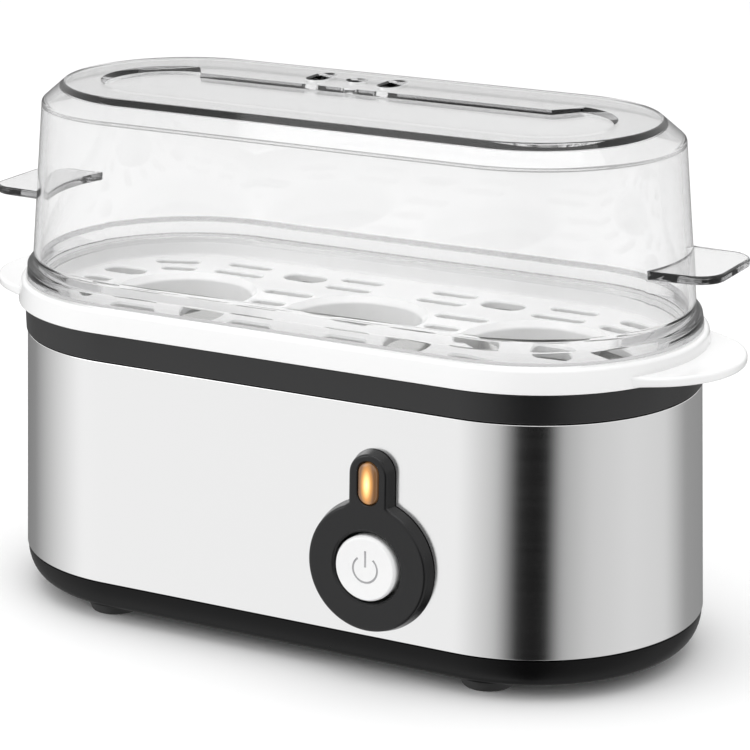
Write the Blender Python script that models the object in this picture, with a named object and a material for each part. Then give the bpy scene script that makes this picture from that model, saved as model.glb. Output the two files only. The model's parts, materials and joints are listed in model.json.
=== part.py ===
"""Electric egg cooker for three eggs: steel body, white egg tray, clear lid, push-button switch.

The plan of every housing piece is an oval track: two half turns joined by straights along X.
Lengths below are in millimetres and become metres as each mesh is finished.
Frame: +X along the length, the control panel on the -Y side, +Z up, z = 0 under the feet.
"""

import math

import bmesh
import bpy
from mathutils import Vector

MM = 0.001

# Plan of the housing
STRAIGHT = 50.3  # half-length of the straight sides, so also the egg pitch
ARC_STEPS = 18  # facets in each half turn

# Steel body
STEEL_BOTTOM = (43.4, 11.3)  # (half-width, height)
STEEL_TOP = (41.5, 69.6)
STEEL_WALL = 0.8
TOUCH_GAP = 0.3

# Posts that tie the top ring to the base, set out from the centres of the half turns
POST_REACH = 35.0
POST_RADIUS = 4.5
POST_FOOT_Z = 12.7
POST_TOP_Z = 63.4
PILOT_RADIUS = 1.8
BOSS_RADIUS = 5.0
BOSS_FOOT_Z = 4.6
BOSS_TOP_Z = 12.4
COUNTERBORE_RADIUS = 3.4
COUNTERBORE_TOP_Z = 9.5

# Feet
FOOT_X = 54.0
FOOT_Y = 31.0
FOOT_TOP_Z = 2.8
FOOT_PEG_RADIUS = 2.0

# Heating plate below the water dish
DISH_UNDER_Z = 64.4
PLATE_STRAIGHT = 28.0
PLATE_RADIUS = 19.0
PLATE_UNDER_Z = 61.8
PLATE_TOP_Z = 64.1
ELEMENT_RADIUS = 3.3
ELEMENT_Z = 58.2
ELEMENT_TURN = 14.0
ELEMENT_END_X = -40.0
ELEMENT_END_Z = 47.0
ELEMENT_BEND = 6.2
CLIP_SCREW_X = 15.5
FUSE_X = 28.0
FUSE_Z = 58.5
STUD_X = 56.0
STUD_RADIUS = 2.0
STUD_END_Z = 52.0

# Control panel, square to the sloping front wall
PANEL_X = 28.4
PANEL_Z = 29.9
BEZEL_RADIUS = 16.8
BEZEL_PROUD = 3.4
BEZEL_FLARE = 1.4  # the side widens by this much from the face to the steel
NECK_HALF_WIDTH = 5.9
NECK_TOP = 29.1
HUB_RADIUS = 13.0
HUB_DEPTH = 7.5
BUTTON_HOLE_RADIUS = 9.0
BUTTON_RADIUS = 8.3
BUTTON_PROUD = 1.0  # ahead of the bezel's face
BUTTON_INNER_Y = -2.6
BRACKET_FRONT = 7.8
BRACKET_BACK = 9.0
BRACKET_SCREW_X = 11.0
TAB_X = 4.0
LENS_Z = 21.2
LENS_HALF_WIDTH = 2.6
LENS_HALF_HEIGHT = 5.2
SPRING_RADIUS = 4.4
SPRING_WIRE = 0.4
SPRING_TURNS = 4.0

# Cord gland in the rear wall
GLAND_X = -30.0
GLAND_Z = 28.0
GLAND_REACH = 48.7
GLAND_BODY_RADIUS = 5.5
GLAND_BORE = 3.4

# Terminal block on the base floor
BLOCK_X = -30.0
BLOCK_HALF_LENGTH = 12.0
BLOCK_FRONT_Y = 12.0
BLOCK_BACK_Y = 26.0
BLOCK_UNDER_Z = 5.7
BLOCK_TOP_Z = 16.7
BLOCK_PITCH = 8.0

# Egg tray
TRAY_TOP_Z = 78.5
TRAY_UNDER_Z = 76.5
SEAT_RADIUS = 17.4
SEAT_WALL = 1.5
SEAT_FOOT_Z = 70.0
TRAY_HANDLE_X = 80.0
TRAY_HANDLE_RADIUS = 24.5
TRAY_HANDLE_ROOT = 42.8
TRAY_HANDLE_HALF_WIDTH = 24.0
TRAY_HANDLE_Z = (77.9, 80.3)

# Lid
LID_TOP_Z = 134.5
LID_RECESS_Z = 133.3
LID_RECESS_STRAIGHT = 53.0
LID_RECESS_RADIUS = 17.5
LID_RECESS_Y = -1.8
LEDGE_HALF_LENGTH = 50.0
LEDGE_TAPER = 7.0
LEDGE_FRONT_Y = 8.4
LEDGE_BACK_Y = 18.0
VENT_X = -10.0
VENT_Y = 19.3
VENT_PITCH = 10.3
VENT_LENGTH = 10.0
VENT_WIDTH = 5.0
LID_HANDLE_ROOT = 37.6
LID_HANDLE_HALF_WIDTH = 14.0
LID_HANDLE_REACH = 102.8
LID_HANDLE_CORNER = 7.0
LID_HANDLE_Z = (101.6, 103.7)

ROUND = {"fine": 28, "plain": 16, "small": 10}

FINISHES = {
    # name: (red, green, blue, roughness, metallic, alpha)
    "black_plastic": (0.012, 0.012, 0.013, 0.32, 0.0, 1.0),
    "ring_plastic": (0.035, 0.035, 0.037, 0.45, 0.0, 1.0),
    "foot_rubber": (0.01, 0.01, 0.01, 0.7, 0.0, 1.0),
    "steel": (0.62, 0.62, 0.61, 0.28, 1.0, 1.0),
    "dish_steel": (0.6, 0.6, 0.6, 0.2, 1.0, 1.0),
    "zinc": (0.5, 0.5, 0.48, 0.35, 1.0, 1.0),
    "aluminium": (0.7, 0.71, 0.72, 0.4, 1.0, 1.0),
    "silicone": (0.55, 0.12, 0.06, 0.6, 0.0, 1.0),
    "element_sheath": (0.3, 0.3, 0.29, 0.45, 1.0, 1.0),
    "ceramic": (0.78, 0.76, 0.7, 0.5, 0.0, 1.0),
    "phenolic": (0.05, 0.03, 0.02, 0.5, 0.0, 1.0),
    "white_plastic": (0.85, 0.85, 0.85, 0.25, 0.0, 1.0),
    "amber": (0.95, 0.42, 0.06, 0.2, 0.0, 0.8),
    "lamp_glass": (0.9, 0.5, 0.3, 0.05, 0.0, 0.5),
    "clear_plastic": (0.85, 0.87, 0.88, 0.05, 0.0, 0.3),
    "wire_brown": (0.2, 0.07, 0.03, 0.5, 0.0, 1.0),
    "wire_blue": (0.04, 0.12, 0.5, 0.5, 0.0, 1.0),
    "wire_green": (0.15, 0.4, 0.06, 0.5, 0.0, 1.0),
    "wire_white": (0.7, 0.7, 0.68, 0.5, 0.0, 1.0),
}


# ---- scene, materials and mesh helpers ----


def clear_scene():
    for obj in list(bpy.data.objects):
        bpy.data.objects.remove(obj, do_unlink=True)


def new_collection(name):
    made = bpy.data.collections.new(name)
    bpy.context.scene.collection.children.link(made)
    return made


def finish_of(name):
    """The Principled material of one finish, made the first time it is asked for."""
    if name in bpy.data.materials:
        return bpy.data.materials[name]
    red, green, blue, roughness, metallic, alpha = FINISHES[name]
    made = bpy.data.materials.new(name)
    made.use_nodes = True
    shader = made.node_tree.nodes["Principled BSDF"]
    shader.inputs["Base Color"].default_value = (red, green, blue, 1.0)
    shader.inputs["Roughness"].default_value = roughness
    shader.inputs["Metallic"].default_value = metallic
    shader.inputs["Alpha"].default_value = alpha
    return made


def place(obj, finish, panel):
    """Puts a finished object among the parts, under the panel's empty where it belongs to it."""
    PARTS.objects.link(obj)
    if finish:
        obj.data.materials.append(finish_of(finish).copy())
        obj.data.materials[0].name = f"{obj.name}_{finish}"
    if panel:
        obj.parent = panel
    return obj


def solid(name, bm, finish, panel=None):
    """Turns a mesh drawn in millimetres into an object in metres."""
    bmesh.ops.remove_doubles(bm, verts=bm.verts, dist=0.001)
    bmesh.ops.recalc_face_normals(bm, faces=bm.faces)
    bmesh.ops.scale(bm, vec=(MM, MM, MM), verts=bm.verts)
    mesh = bpy.data.meshes.new(name)
    bm.to_mesh(mesh)
    bm.free()
    mesh.shade_smooth()
    mesh.set_sharp_from_angle(angle=math.radians(35))
    return place(bpy.data.objects.new(name, mesh), finish, panel)


def apply_tool(target, bm, operation):
    """Cuts a mesh from the target, or joins it on, with a hidden tool object."""
    tool = solid(f"{target.name}_{operation.lower()}_{len(CUTTERS.objects)}", bm, None, target.parent)
    PARTS.objects.unlink(tool)
    CUTTERS.objects.link(tool)
    tool.hide_render = True
    tool.display_type = "WIRE"
    step = target.modifiers.new(tool.name, "BOOLEAN")
    step.operation = operation
    step.solver = "EXACT"
    step.object = tool
    return tool


def cut(target, bm):
    return apply_tool(target, bm, "DIFFERENCE")


def join(target, bm):
    return apply_tool(target, bm, "UNION")


def box(bm, low, high):
    """A box between two corners."""
    made = bmesh.ops.create_cube(bm, size=1.0)
    size = Vector(high) - Vector(low)
    bmesh.ops.scale(bm, vec=size, verts=made["verts"])
    bmesh.ops.translate(bm, vec=(Vector(low) + Vector(high)) / 2, verts=made["verts"])
    return bm


def prism(bm, outline, start, end, along="Z"):
    """A flat outline pulled from start to end along Z, or along Y for one drawn in X and Z."""
    if along == "Z":
        corners = [(x, y, start) for x, y in outline]
        pull = (0, 0, end - start)
    else:
        corners = [(x, start, z) for x, z in outline]
        pull = (0, end - start, 0)
    face = bm.faces.new([bm.verts.new(corner) for corner in corners])
    pulled = bmesh.ops.extrude_face_region(bm, geom=[face])["geom"]
    bmesh.ops.translate(bm, vec=pull, verts=[v for v in pulled if isinstance(v, bmesh.types.BMVert)])
    return bm


def arc(centre, radius, start, end, steps):
    """Points of a circular arc, angles in degrees, both ends included."""
    angles = [math.radians(start + (end - start) * i / steps) for i in range(steps + 1)]
    return [(centre[0] + radius * math.cos(a), centre[1] + radius * math.sin(a)) for a in angles]


def disc(centre, radius, steps):
    return arc(centre, radius, 0, 360 - 360 / steps, steps - 1)


def obround(centre, length, width, angle=0.0, steps=5):
    """The outline of a slot with round ends, its length turned by an angle in degrees."""
    radius = width / 2
    half = (length - width) / 2
    turn = math.radians(angle)
    shape = arc((half, 0), radius, -90, 90, steps) + arc((-half, 0), radius, 90, 270, steps)
    cos, sin = math.cos(turn), math.sin(turn)
    return [(centre[0] + x * cos - y * sin, centre[1] + x * sin + y * cos) for x, y in shape]


def oval(radius, straight=STRAIGHT, steps=ARC_STEPS):
    """The outline of the oval track."""
    right = arc((straight, 0), radius, -90, 90, steps)
    left = arc((-straight, 0), radius, 90, 270, steps)
    return right + left


def oval_sweep(profile, closed=False, steps=ARC_STEPS):
    """Carries a (radius, height) profile round the oval track.

    The section turns half a circle about one end's centre, runs along the straight, turns about
    the other centre and runs back. An open profile leaves two oval holes, which get flat faces.
    """
    bm = bmesh.new()
    verts = [bm.verts.new((STRAIGHT, -radius, height)) for radius, height in profile]
    edges = [bm.edges.new(pair) for pair in zip(verts, verts[1:])]
    if closed:
        edges.append(bm.edges.new((verts[-1], verts[0])))
    section = verts + edges
    for side in (1, -1):
        turned = bmesh.ops.spin(
            bm, geom=section, cent=(side * STRAIGHT, 0, 0), axis=(0, 0, 1), angle=math.pi, steps=steps
        )
        last = [e for e in turned["geom_last"] if isinstance(e, bmesh.types.BMEdge)]
        run = bmesh.ops.extrude_edge_only(bm, edges=last)["geom"]
        ends = [v for v in run if isinstance(v, bmesh.types.BMVert)]
        bmesh.ops.translate(bm, vec=(-2 * side * STRAIGHT, 0, 0), verts=ends)
        moved = set(ends)
        section = ends + [
            e for e in run if isinstance(e, bmesh.types.BMEdge) and moved.issuperset(e.verts)
        ]
    bmesh.ops.remove_doubles(bm, verts=bm.verts, dist=0.001)
    if not closed:
        rims = [e for e in bm.edges if e.is_boundary]
        bmesh.ops.holes_fill(bm, edges=rims, sides=0)
    return bm


def turn_profile(bm, profile, centre, axis, steps):
    """Turns a (radius, distance along the axis) profile about an axis through centre.

    Both ends of the profile lie on the axis, or the profile is a closed ring that stays off it.
    """
    centre, axis = Vector(centre), Vector(axis).normalized()
    across = axis.orthogonal().normalized()
    verts = [bm.verts.new(centre + across * r + axis * t) for r, t in profile]
    edges = [bm.edges.new(pair) for pair in zip(verts, verts[1:])]
    if profile[0][0] > 0:
        edges.append(bm.edges.new((verts[-1], verts[0])))
    bmesh.ops.spin(
        bm, geom=verts + edges, cent=centre, axis=axis, angle=2 * math.pi, steps=steps, use_merge=True
    )
    bmesh.ops.remove_doubles(bm, verts=bm.verts, dist=0.001)
    return bm


def rod(bm, start, axis, radius, length, steps):
    """A plain round bar from a start point."""
    return turn_profile(bm, [(0, 0), (radius, 0), (radius, length), (0, length)], start, axis, steps)


def loft(bm, rings):
    """Skins rings of equally many points, and closes the first and the last."""
    rows = [[bm.verts.new(point) for point in ring] for ring in rings]
    count = len(rows[0])
    for near, far in zip(rows, rows[1:]):
        for i in range(count):
            j = (i + 1) % count
            bm.faces.new((near[i], near[j], far[j], far[i]))
    bm.faces.new(rows[0])
    bm.faces.new(rows[-1])
    return bm


def smooth_route(points, per_span):
    """Catmull-Rom points through a hand-placed route, with straight starts and ends."""
    ends = [points[0] * 2 - points[1], *points, points[-1] * 2 - points[-2]]
    route = []
    for a, b, c, d in zip(ends, ends[1:], ends[2:], ends[3:]):
        for i in range(per_span):
            t = i / per_span
            route.append(
                0.5 * (2 * b + (c - a) * t + (2 * a - 5 * b + 4 * c - d) * t**2
                       + (3 * b - a - 3 * c + d) * t**3)
            )
    return [*route, points[-1]]


def tube(name, route, radius, finish, panel=None):
    """A round wire or rod along a route of points, with closed ends."""
    data = bpy.data.curves.new(name, "CURVE")
    data.dimensions = "3D"
    data.bevel_depth = radius * MM
    data.bevel_resolution = 2
    data.use_fill_caps = True
    spline = data.splines.new("POLY")
    spline.points.add(len(route) - 1)
    for point, place_at in zip(spline.points, route):
        point.co = (*(Vector(place_at) * MM), 1.0)
    return place(bpy.data.objects.new(name, data), finish, panel)


def steel_radius(height):
    """Outer half-width of the sloping steel wall."""
    share = (height - STEEL_BOTTOM[1]) / (STEEL_TOP[1] - STEEL_BOTTOM[1])
    return STEEL_BOTTOM[0] + (STEEL_TOP[0] - STEEL_BOTTOM[0]) * share


def post_places():
    """The four corners where posts, bosses and base screws stand."""
    reach = POST_REACH * math.sqrt(0.5)
    return [(sx * (STRAIGHT + reach), sy * reach) for sx in (-1, 1) for sy in (-1, 1)]


# ---- housing ----


def base_shell():
    """Moulded pan with a rounded underside, a lip inside the steel, and four screw bosses."""
    profile = [
        (38.0, 5.4), (39.6, 8.2), (40.1, 16.8), (41.8, 16.8), (41.9, 11.0),
        (43.2, 11.0), (42.9, 8.8), (41.9, 6.2), (40.2, 4.1), (38.2, 3.1),
    ]
    shell = solid("base_shell", oval_sweep(profile), "black_plastic")
    bosses, bores = bmesh.new(), bmesh.new()
    for x, y in post_places():
        rod(bosses, (x, y, BOSS_FOOT_Z), (0, 0, 1), BOSS_RADIUS, BOSS_TOP_Z - BOSS_FOOT_Z, ROUND["plain"])
        steps = [
            (0, 2), (COUNTERBORE_RADIUS, 2), (COUNTERBORE_RADIUS, COUNTERBORE_TOP_Z),
            (PILOT_RADIUS, COUNTERBORE_TOP_Z), (PILOT_RADIUS, 14), (0, 14),
        ]
        turn_profile(bores, steps, (x, y, 0), (0, 0, 1), ROUND["small"])
    for x in (-FOOT_X, FOOT_X):
        for y in (-FOOT_Y, FOOT_Y):
            rod(bores, (x, y, 2), (0, 0, 1), FOOT_PEG_RADIUS + TOUCH_GAP, 5, ROUND["small"])
    join(shell, bosses)
    cut(shell, bores)


def feet():
    """Rubber feet whose pegs push up through the base floor."""
    profile = [
        (0, 0), (6.2, 0), (6.7, 0.5), (7.4, FOOT_TOP_Z), (FOOT_PEG_RADIUS, FOOT_TOP_Z),
        (FOOT_PEG_RADIUS, 6.6), (1.4, 7.2), (0, 7.2),
    ]
    for label, y in (("front", -FOOT_Y), ("rear", FOOT_Y)):
        for hand, x in (("left", -FOOT_X), ("right", FOOT_X)):
            bm = turn_profile(bmesh.new(), profile, (x, y, 0), (0, 0, 1), ROUND["plain"])
            solid(f"foot_{label}_{hand}", bm, "foot_rubber")


def base_screws():
    """Pan-head screws from below, through the base bosses into the ring's posts."""
    profile = [(0, 7.2), (2.6, 7.2), (3.1, 7.9), (3.1, 9.2), (1.5, 9.2), (1.5, 27.5), (0, 29.0)]
    names = ("left_front", "left_rear", "right_front", "right_rear")
    for name, (x, y) in zip(names, post_places()):
        bm = turn_profile(bmesh.new(), profile, (x, y, 0), (0, 0, 1), ROUND["small"])
        solid(f"base_screw_{name}", bm, "zinc")


def steel_sleeve(panel):
    """Open steel band with the holes for the panel, the lens and the cord gland."""
    (low_r, low_z), (top_r, top_z) = STEEL_BOTTOM, STEEL_TOP
    profile = [(low_r, low_z), (top_r, top_z), (top_r - STEEL_WALL, top_z), (low_r - STEEL_WALL, low_z)]
    sleeve = solid("steel_sleeve", oval_sweep(profile, closed=True), "steel")
    holes = bmesh.new()
    prism(holes, disc((0, 0), HUB_RADIUS + TOUCH_GAP, ROUND["fine"]), -6, 6, along="Y")
    slot = obround((0, LENS_Z), 2 * LENS_HALF_HEIGHT + 0.8, 2 * LENS_HALF_WIDTH + 0.8, 90)
    prism(holes, slot, -6, 6, along="Y")
    tool = cut(sleeve, holes)
    tool.parent = panel
    hole = rod(
        bmesh.new(), (GLAND_X, 36, GLAND_Z), (0, 1, 0), GLAND_BODY_RADIUS + 0.4, 12, ROUND["plain"]
    )
    cut(sleeve, hole)


def top_ring():
    """Black moulded ring: visible band, rail for the tray, shelf for the dish, four posts."""
    profile = [
        (41.8, 69.9), (41.9, 76.8), (41.4, 77.3), (41.2, 81.3), (39.9, 81.3), (39.9, 73.6),
        (35.8, 73.6), (35.8, 71.4), (38.5, 71.4), (38.5, 60.0), (40.3, 60.0), (40.3, 69.9),
    ]
    ring = solid("top_ring", oval_sweep(profile, closed=True), "ring_plastic")
    posts, pilots = bmesh.new(), bmesh.new()
    for x, y in post_places():
        rod(posts, (x, y, POST_FOOT_Z), (0, 0, 1), POST_RADIUS, POST_TOP_Z - POST_FOOT_Z, ROUND["plain"])
        rod(pilots, (x, y, 10), (0, 0, 1), PILOT_RADIUS, 21, ROUND["small"])
    join(ring, posts)
    cut(ring, pilots)


def dish_gasket():
    """Flat silicone seal between the ring's shelf and the dish's flange."""
    profile = [(36.2, 73.9), (39.4, 73.9), (39.4, 75.1), (36.2, 75.1)]
    solid("dish_gasket", oval_sweep(profile, closed=True, steps=14), "silicone")


# ---- heating ----


def water_dish():
    """Pressed pan that holds the water, with two studs below it."""
    profile = [
        (29.5, 65.2), (32.0, 65.9), (33.6, 68.0), (34.7, 75.6), (35.3, 76.2), (39.5, 76.2),
        (39.5, 75.4), (35.5, 75.4), (34.4, 67.8), (32.4, 65.2), (29.8, DISH_UNDER_Z),
    ]
    dish = solid("water_dish", oval_sweep(profile), "dish_steel")
    studs = bmesh.new()
    for x in (-STUD_X, STUD_X):
        rod(studs, (x, 0, STUD_END_Z), (0, 0, 1), STUD_RADIUS, DISH_UNDER_Z + 0.4 - STUD_END_Z, 10)
    join(dish, studs)


def heat_plate():
    """Aluminium plate that spreads the heat, with two blind screw holes."""
    outline = oval(PLATE_RADIUS, PLATE_STRAIGHT, 12)
    bm = prism(bmesh.new(), outline, PLATE_UNDER_Z, PLATE_TOP_Z)
    plate = solid("heat_plate", bm, "aluminium")
    holes = bmesh.new()
    for x in (-CLIP_SCREW_X, CLIP_SCREW_X):
        rod(holes, (x, 0, PLATE_UNDER_Z - 1), (0, 0, 1), 1.5, 2.8, 8)
    cut(plate, holes)


def heating_element():
    """U-shaped sheathed heater whose two ends bend down to their terminals."""
    bend_x = ELEMENT_END_X + ELEMENT_BEND
    rise = arc((bend_x, ELEMENT_Z - ELEMENT_BEND), ELEMENT_BEND, 180, 90, 4)
    first = [(ELEMENT_END_X, -ELEMENT_TURN, ELEMENT_END_Z)]
    first += [(x, -ELEMENT_TURN, z) for x, z in rise]
    turn = arc((PLATE_STRAIGHT, 0), ELEMENT_TURN, -90, 90, 12)
    middle = [(x, y, ELEMENT_Z) for x, y in turn]
    last = [(x, -y, z) for x, y, z in reversed(first)]
    tube("heating_element", first + middle + last, ELEMENT_RADIUS, "element_sheath")


def element_terminals():
    """Cold pins below the heater's ends, each with a blade for a push-on tab."""
    for label, y in (("front", -ELEMENT_TURN), ("rear", ELEMENT_TURN)):
        pin = rod(bmesh.new(), (ELEMENT_END_X, y, 42.0), (0, 0, 1), 1.6, 4.7, ROUND["small"])
        terminal = solid(f"element_terminal_{label}", pin, "zinc")
        x = ELEMENT_END_X
        join(terminal, box(bmesh.new(), (x - 2.4, y - 0.4, 36.0), (x + 2.4, y + 0.4, 42.6)))


def thermostat():
    """Bimetal disc thermostat held against the plate by a bent clip and two screws."""
    up = (0, 0, 1)
    body = [(0, 50.4), (7.5, 50.4), (8.0, 51.0), (8.0, 59.6), (0, 59.6)]
    solid("thermostat_body", turn_profile(bmesh.new(), body, (0, 0, 0), up, ROUND["plain"]), "phenolic")
    cap = [(0, 59.9), (8.4, 59.9), (8.4, 61.0), (7.9, 61.5), (0, 61.5)]
    solid("thermostat_cap", turn_profile(bmesh.new(), cap, (0, 0, 0), up, ROUND["plain"]), "aluminium")
    solid("thermostat_tab_front", box(bmesh.new(), (-2.4, -13.5, 52.0), (2.4, -8.3, 52.8)), "zinc")
    solid("thermostat_tab_rear", box(bmesh.new(), (-2.4, 8.3, 52.0), (2.4, 13.5, 52.8)), "zinc")


def thermostat_clip():
    """Bent strap under the thermostat, its two feet screwed up into the plate."""
    half = [(18.5, 61.5), (18.5, 60.5), (12.5, 60.5), (12.5, 49.1)]
    inner = [(11.5, 50.1), (11.5, 61.5)]
    right = half + [(-x, z) for x, z in reversed(half)]
    outline = right + [(-x, z) for x, z in reversed(inner)] + inner
    clip = solid("thermostat_clip", prism(bmesh.new(), outline, -3.5, 3.5, along="Y"), "zinc")
    holes = bmesh.new()
    screw = [(0, 58.2), (2.0, 58.2), (2.6, 58.8), (2.6, 60.2), (1.2, 60.2), (1.2, 63.3), (0, 63.3)]
    for label, x in (("left", -CLIP_SCREW_X), ("right", CLIP_SCREW_X)):
        rod(holes, (x, 0, 60.0), (0, 0, 1), 1.5, 2.0, 8)
        bm = turn_profile(bmesh.new(), screw, (x, 0, 0), (0, 0, 1), 10)
        solid(f"clip_screw_{label}", bm, "zinc")
    cut(clip, holes)


def thermal_fuse():
    """One-shot fuse lying under the plate inside an insulating sleeve."""
    start = (FUSE_X - 9, 0, FUSE_Z)
    fuse = [(0, 0), (0.5, 0), (0.5, 4), (2.0, 4.6), (2.0, 13.4), (0.5, 14), (0.5, 18), (0, 18)]
    solid("thermal_fuse", turn_profile(bmesh.new(), fuse, start, (1, 0, 0), 10), "zinc")
    sleeve = [(2.4, 1.5), (3.0, 1.5), (3.0, 16.5), (2.4, 16.5)]
    solid("fuse_sleeve", turn_profile(bmesh.new(), sleeve, start, (1, 0, 0), ROUND["small"]), "wire_white")


def clamp_bars():
    """Two strips pulled up against the ring's skirt by nuts on the dish's studs."""
    nut = arc((0, 0), 4.0, 0, 300, 5)
    for label, x in (("left", -STUD_X), ("right", STUD_X)):
        bar = solid(f"clamp_bar_{label}", box(bmesh.new(), (x - 5, -39.2, 58.5), (x + 5, 39.2, 59.7)), "zinc")
        hole = rod(bmesh.new(), (x, 0, 57), (0, 0, 1), STUD_RADIUS + 0.4, 4, 10)
        cut(bar, hole)
        outline = [(x + dx, dy) for dx, dy in nut]
        clamp_nut = solid(f"clamp_nut_{label}", prism(bmesh.new(), outline, 55.0, 58.2), "zinc")
        cut(clamp_nut, rod(bmesh.new(), (x, 0, 54), (0, 0, 1), STUD_RADIUS + TOUCH_GAP, 6, 10))


# ---- control panel: X across, Y into the body, Z up the wall ----


def panel_frame():
    """The empty that holds the panel's pieces, on the steel and square to its slope."""
    empty = bpy.data.objects.new("control_panel", None)
    PARTS.objects.link(empty)
    slope = (STEEL_BOTTOM[0] - STEEL_TOP[0]) / (STEEL_TOP[1] - STEEL_BOTTOM[1])
    empty.location = Vector((PANEL_X, -steel_radius(PANEL_Z), PANEL_Z)) * MM
    empty.rotation_euler = (-math.atan(slope), 0, 0)
    return empty


def keyhole(inset):
    """Outline of the bezel: a disc with a round-topped neck, drawn in from its edge."""
    radius, half = BEZEL_RADIUS - inset, NECK_HALF_WIDTH - inset
    spread = math.degrees(math.asin(half / radius))
    body = arc((0, 0), radius, 90 + spread, 450 - spread, 36)
    top = arc((0, NECK_TOP - NECK_HALF_WIDTH), half, 0, 180, 10)
    return body + top


def control_bezel(panel):
    """Flared black surround with a round button hole, a slot for the lens and a rear hub."""
    edge = 0.4
    layers = (
        (-TOUCH_GAP, keyhole(0.0)), (edge - BEZEL_PROUD, keyhole(BEZEL_FLARE - edge)),
        (-BEZEL_PROUD, keyhole(BEZEL_FLARE)),
    )
    rings = [[(x, y, z) for x, z in outline] for y, outline in layers]
    bezel = solid("control_bezel", loft(bmesh.new(), rings), "black_plastic", panel)
    join(bezel, rod(bmesh.new(), (0, -1, 0), (0, 1, 0), HUB_RADIUS, HUB_DEPTH + 1, ROUND["fine"]))
    holes = rod(bmesh.new(), (0, -8, 0), (0, 1, 0), BUTTON_HOLE_RADIUS, 18, ROUND["fine"])
    slot = obround((0, LENS_Z), 2 * LENS_HALF_HEIGHT + 0.6, 2 * LENS_HALF_WIDTH + 0.6, 90)
    prism(holes, slot, -8, 2, along="Y")
    for x in (-BRACKET_SCREW_X, BRACKET_SCREW_X):
        rod(holes, (x, 1, 0), (0, 1, 0), 1.1, 8, 8)
    cut(bezel, holes)


def power_button(panel):
    """Round white cap with a skirt inside the hub and a stem that meets the switch plunger."""
    front = -BEZEL_PROUD - BUTTON_PROUD
    profile = [
        (0, front), (BUTTON_RADIUS - 0.6, front), (BUTTON_RADIUS - 0.1, front + 0.3),
        (BUTTON_RADIUS, front + 0.7), (BUTTON_RADIUS, 3.0), (7.1, 3.0), (7.1, BUTTON_INNER_Y),
        (2.2, BUTTON_INNER_Y), (2.2, 5.6), (0, 5.6),
    ]
    bm = turn_profile(bmesh.new(), profile, (0, 0, 0), (0, 1, 0), ROUND["fine"])
    solid("power_button", bm, "white_plastic", panel)
    plunger = rod(bmesh.new(), (0, 5.9, 0), (0, 1, 0), 1.8, 7.6, ROUND["small"])
    solid("switch_plunger", plunger, "white_plastic", panel)


def button_spring(panel):
    """Coil round the button's stem, between the cap and the bracket."""
    per_turn = 9
    count = round(SPRING_TURNS * per_turn)
    start, end = BUTTON_INNER_Y + 0.4 + SPRING_WIRE, BRACKET_FRONT - 0.4 - SPRING_WIRE
    route = []
    for i in range(count + 1):
        angle = 2 * math.pi * i / per_turn
        along = start + (end - start) * i / count
        route.append((SPRING_RADIUS * math.cos(angle), along, SPRING_RADIUS * math.sin(angle)))
    tube("button_spring", route, SPRING_WIRE, "zinc", panel)


def push_switch(panel):
    """Latching switch on a bracket that two screws hold to the bezel's hub."""
    body = solid("switch_body", box(bmesh.new(), (-7, 9.3, -7), (7, 24, 7)), "phenolic", panel)
    cut(body, rod(bmesh.new(), (0, 8, 0), (0, 1, 0), 2.3, 9, ROUND["small"]))
    for label, x in (("left", -TAB_X), ("right", TAB_X)):
        tab = box(bmesh.new(), (x - 0.4, 24.3, -2.4), (x + 0.4, 30.5, 2.4))
        solid(f"switch_tab_{label}", tab, "zinc", panel)
    plate = box(bmesh.new(), (-14.5, BRACKET_FRONT, -8.5), (14.5, BRACKET_BACK, 8.5))
    bracket = solid("switch_bracket", plate, "zinc", panel)
    holes = rod(bmesh.new(), (0, 6, 0), (0, 1, 0), 2.6, 5, ROUND["small"])
    screw = [(0, 2.0), (0.8, 2.0), (0.8, 9.3), (2.3, 9.3), (2.3, 10.4), (1.7, 11.0), (0, 11.0)]
    for label, x in (("left", -BRACKET_SCREW_X), ("right", BRACKET_SCREW_X)):
        rod(holes, (x, 6, 0), (0, 1, 0), 1.4, 5, 8)
        bm = turn_profile(bmesh.new(), screw, (x, 0, 0), (0, 1, 0), 10)
        solid(f"bracket_screw_{label}", bm, "zinc", panel)
    cut(bracket, holes)


def indicator(panel):
    """Amber lens through the bezel, and the lamp in its holder behind it."""
    def ring(inset, y):
        outline = obround((0, LENS_Z), 2 * (LENS_HALF_HEIGHT - inset), 2 * (LENS_HALF_WIDTH - inset), 90, 6)
        return [(x, y, z) for x, z in outline]

    face = -BEZEL_PROUD
    lens = loft(bmesh.new(), [ring(0.0, 3.0), ring(0.0, face), ring(0.6, face - 0.5)])
    solid("indicator_lens", lens, "amber", panel)
    shell = box(bmesh.new(), (-5, 3.3, LENS_Z - 6.8), (5, 13.5, LENS_Z + 6.8))
    holder = solid("lamp_holder", shell, "white_plastic", panel)
    cut(holder, box(bmesh.new(), (-3.6, 2.0, LENS_Z - 6.0), (3.6, 11.0, LENS_Z + 6.0)))
    lamp = [(0, 0), (1.4, 0.3), (2.4, 1.4), (2.4, 8.6), (1.4, 9.7), (0, 10)]
    bulb = turn_profile(bmesh.new(), lamp, (0, 7.2, LENS_Z - 5), (0, 0, 1), ROUND["small"])
    solid("indicator_lamp", bulb, "lamp_glass", panel)


# ---- mains connection ----


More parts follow.
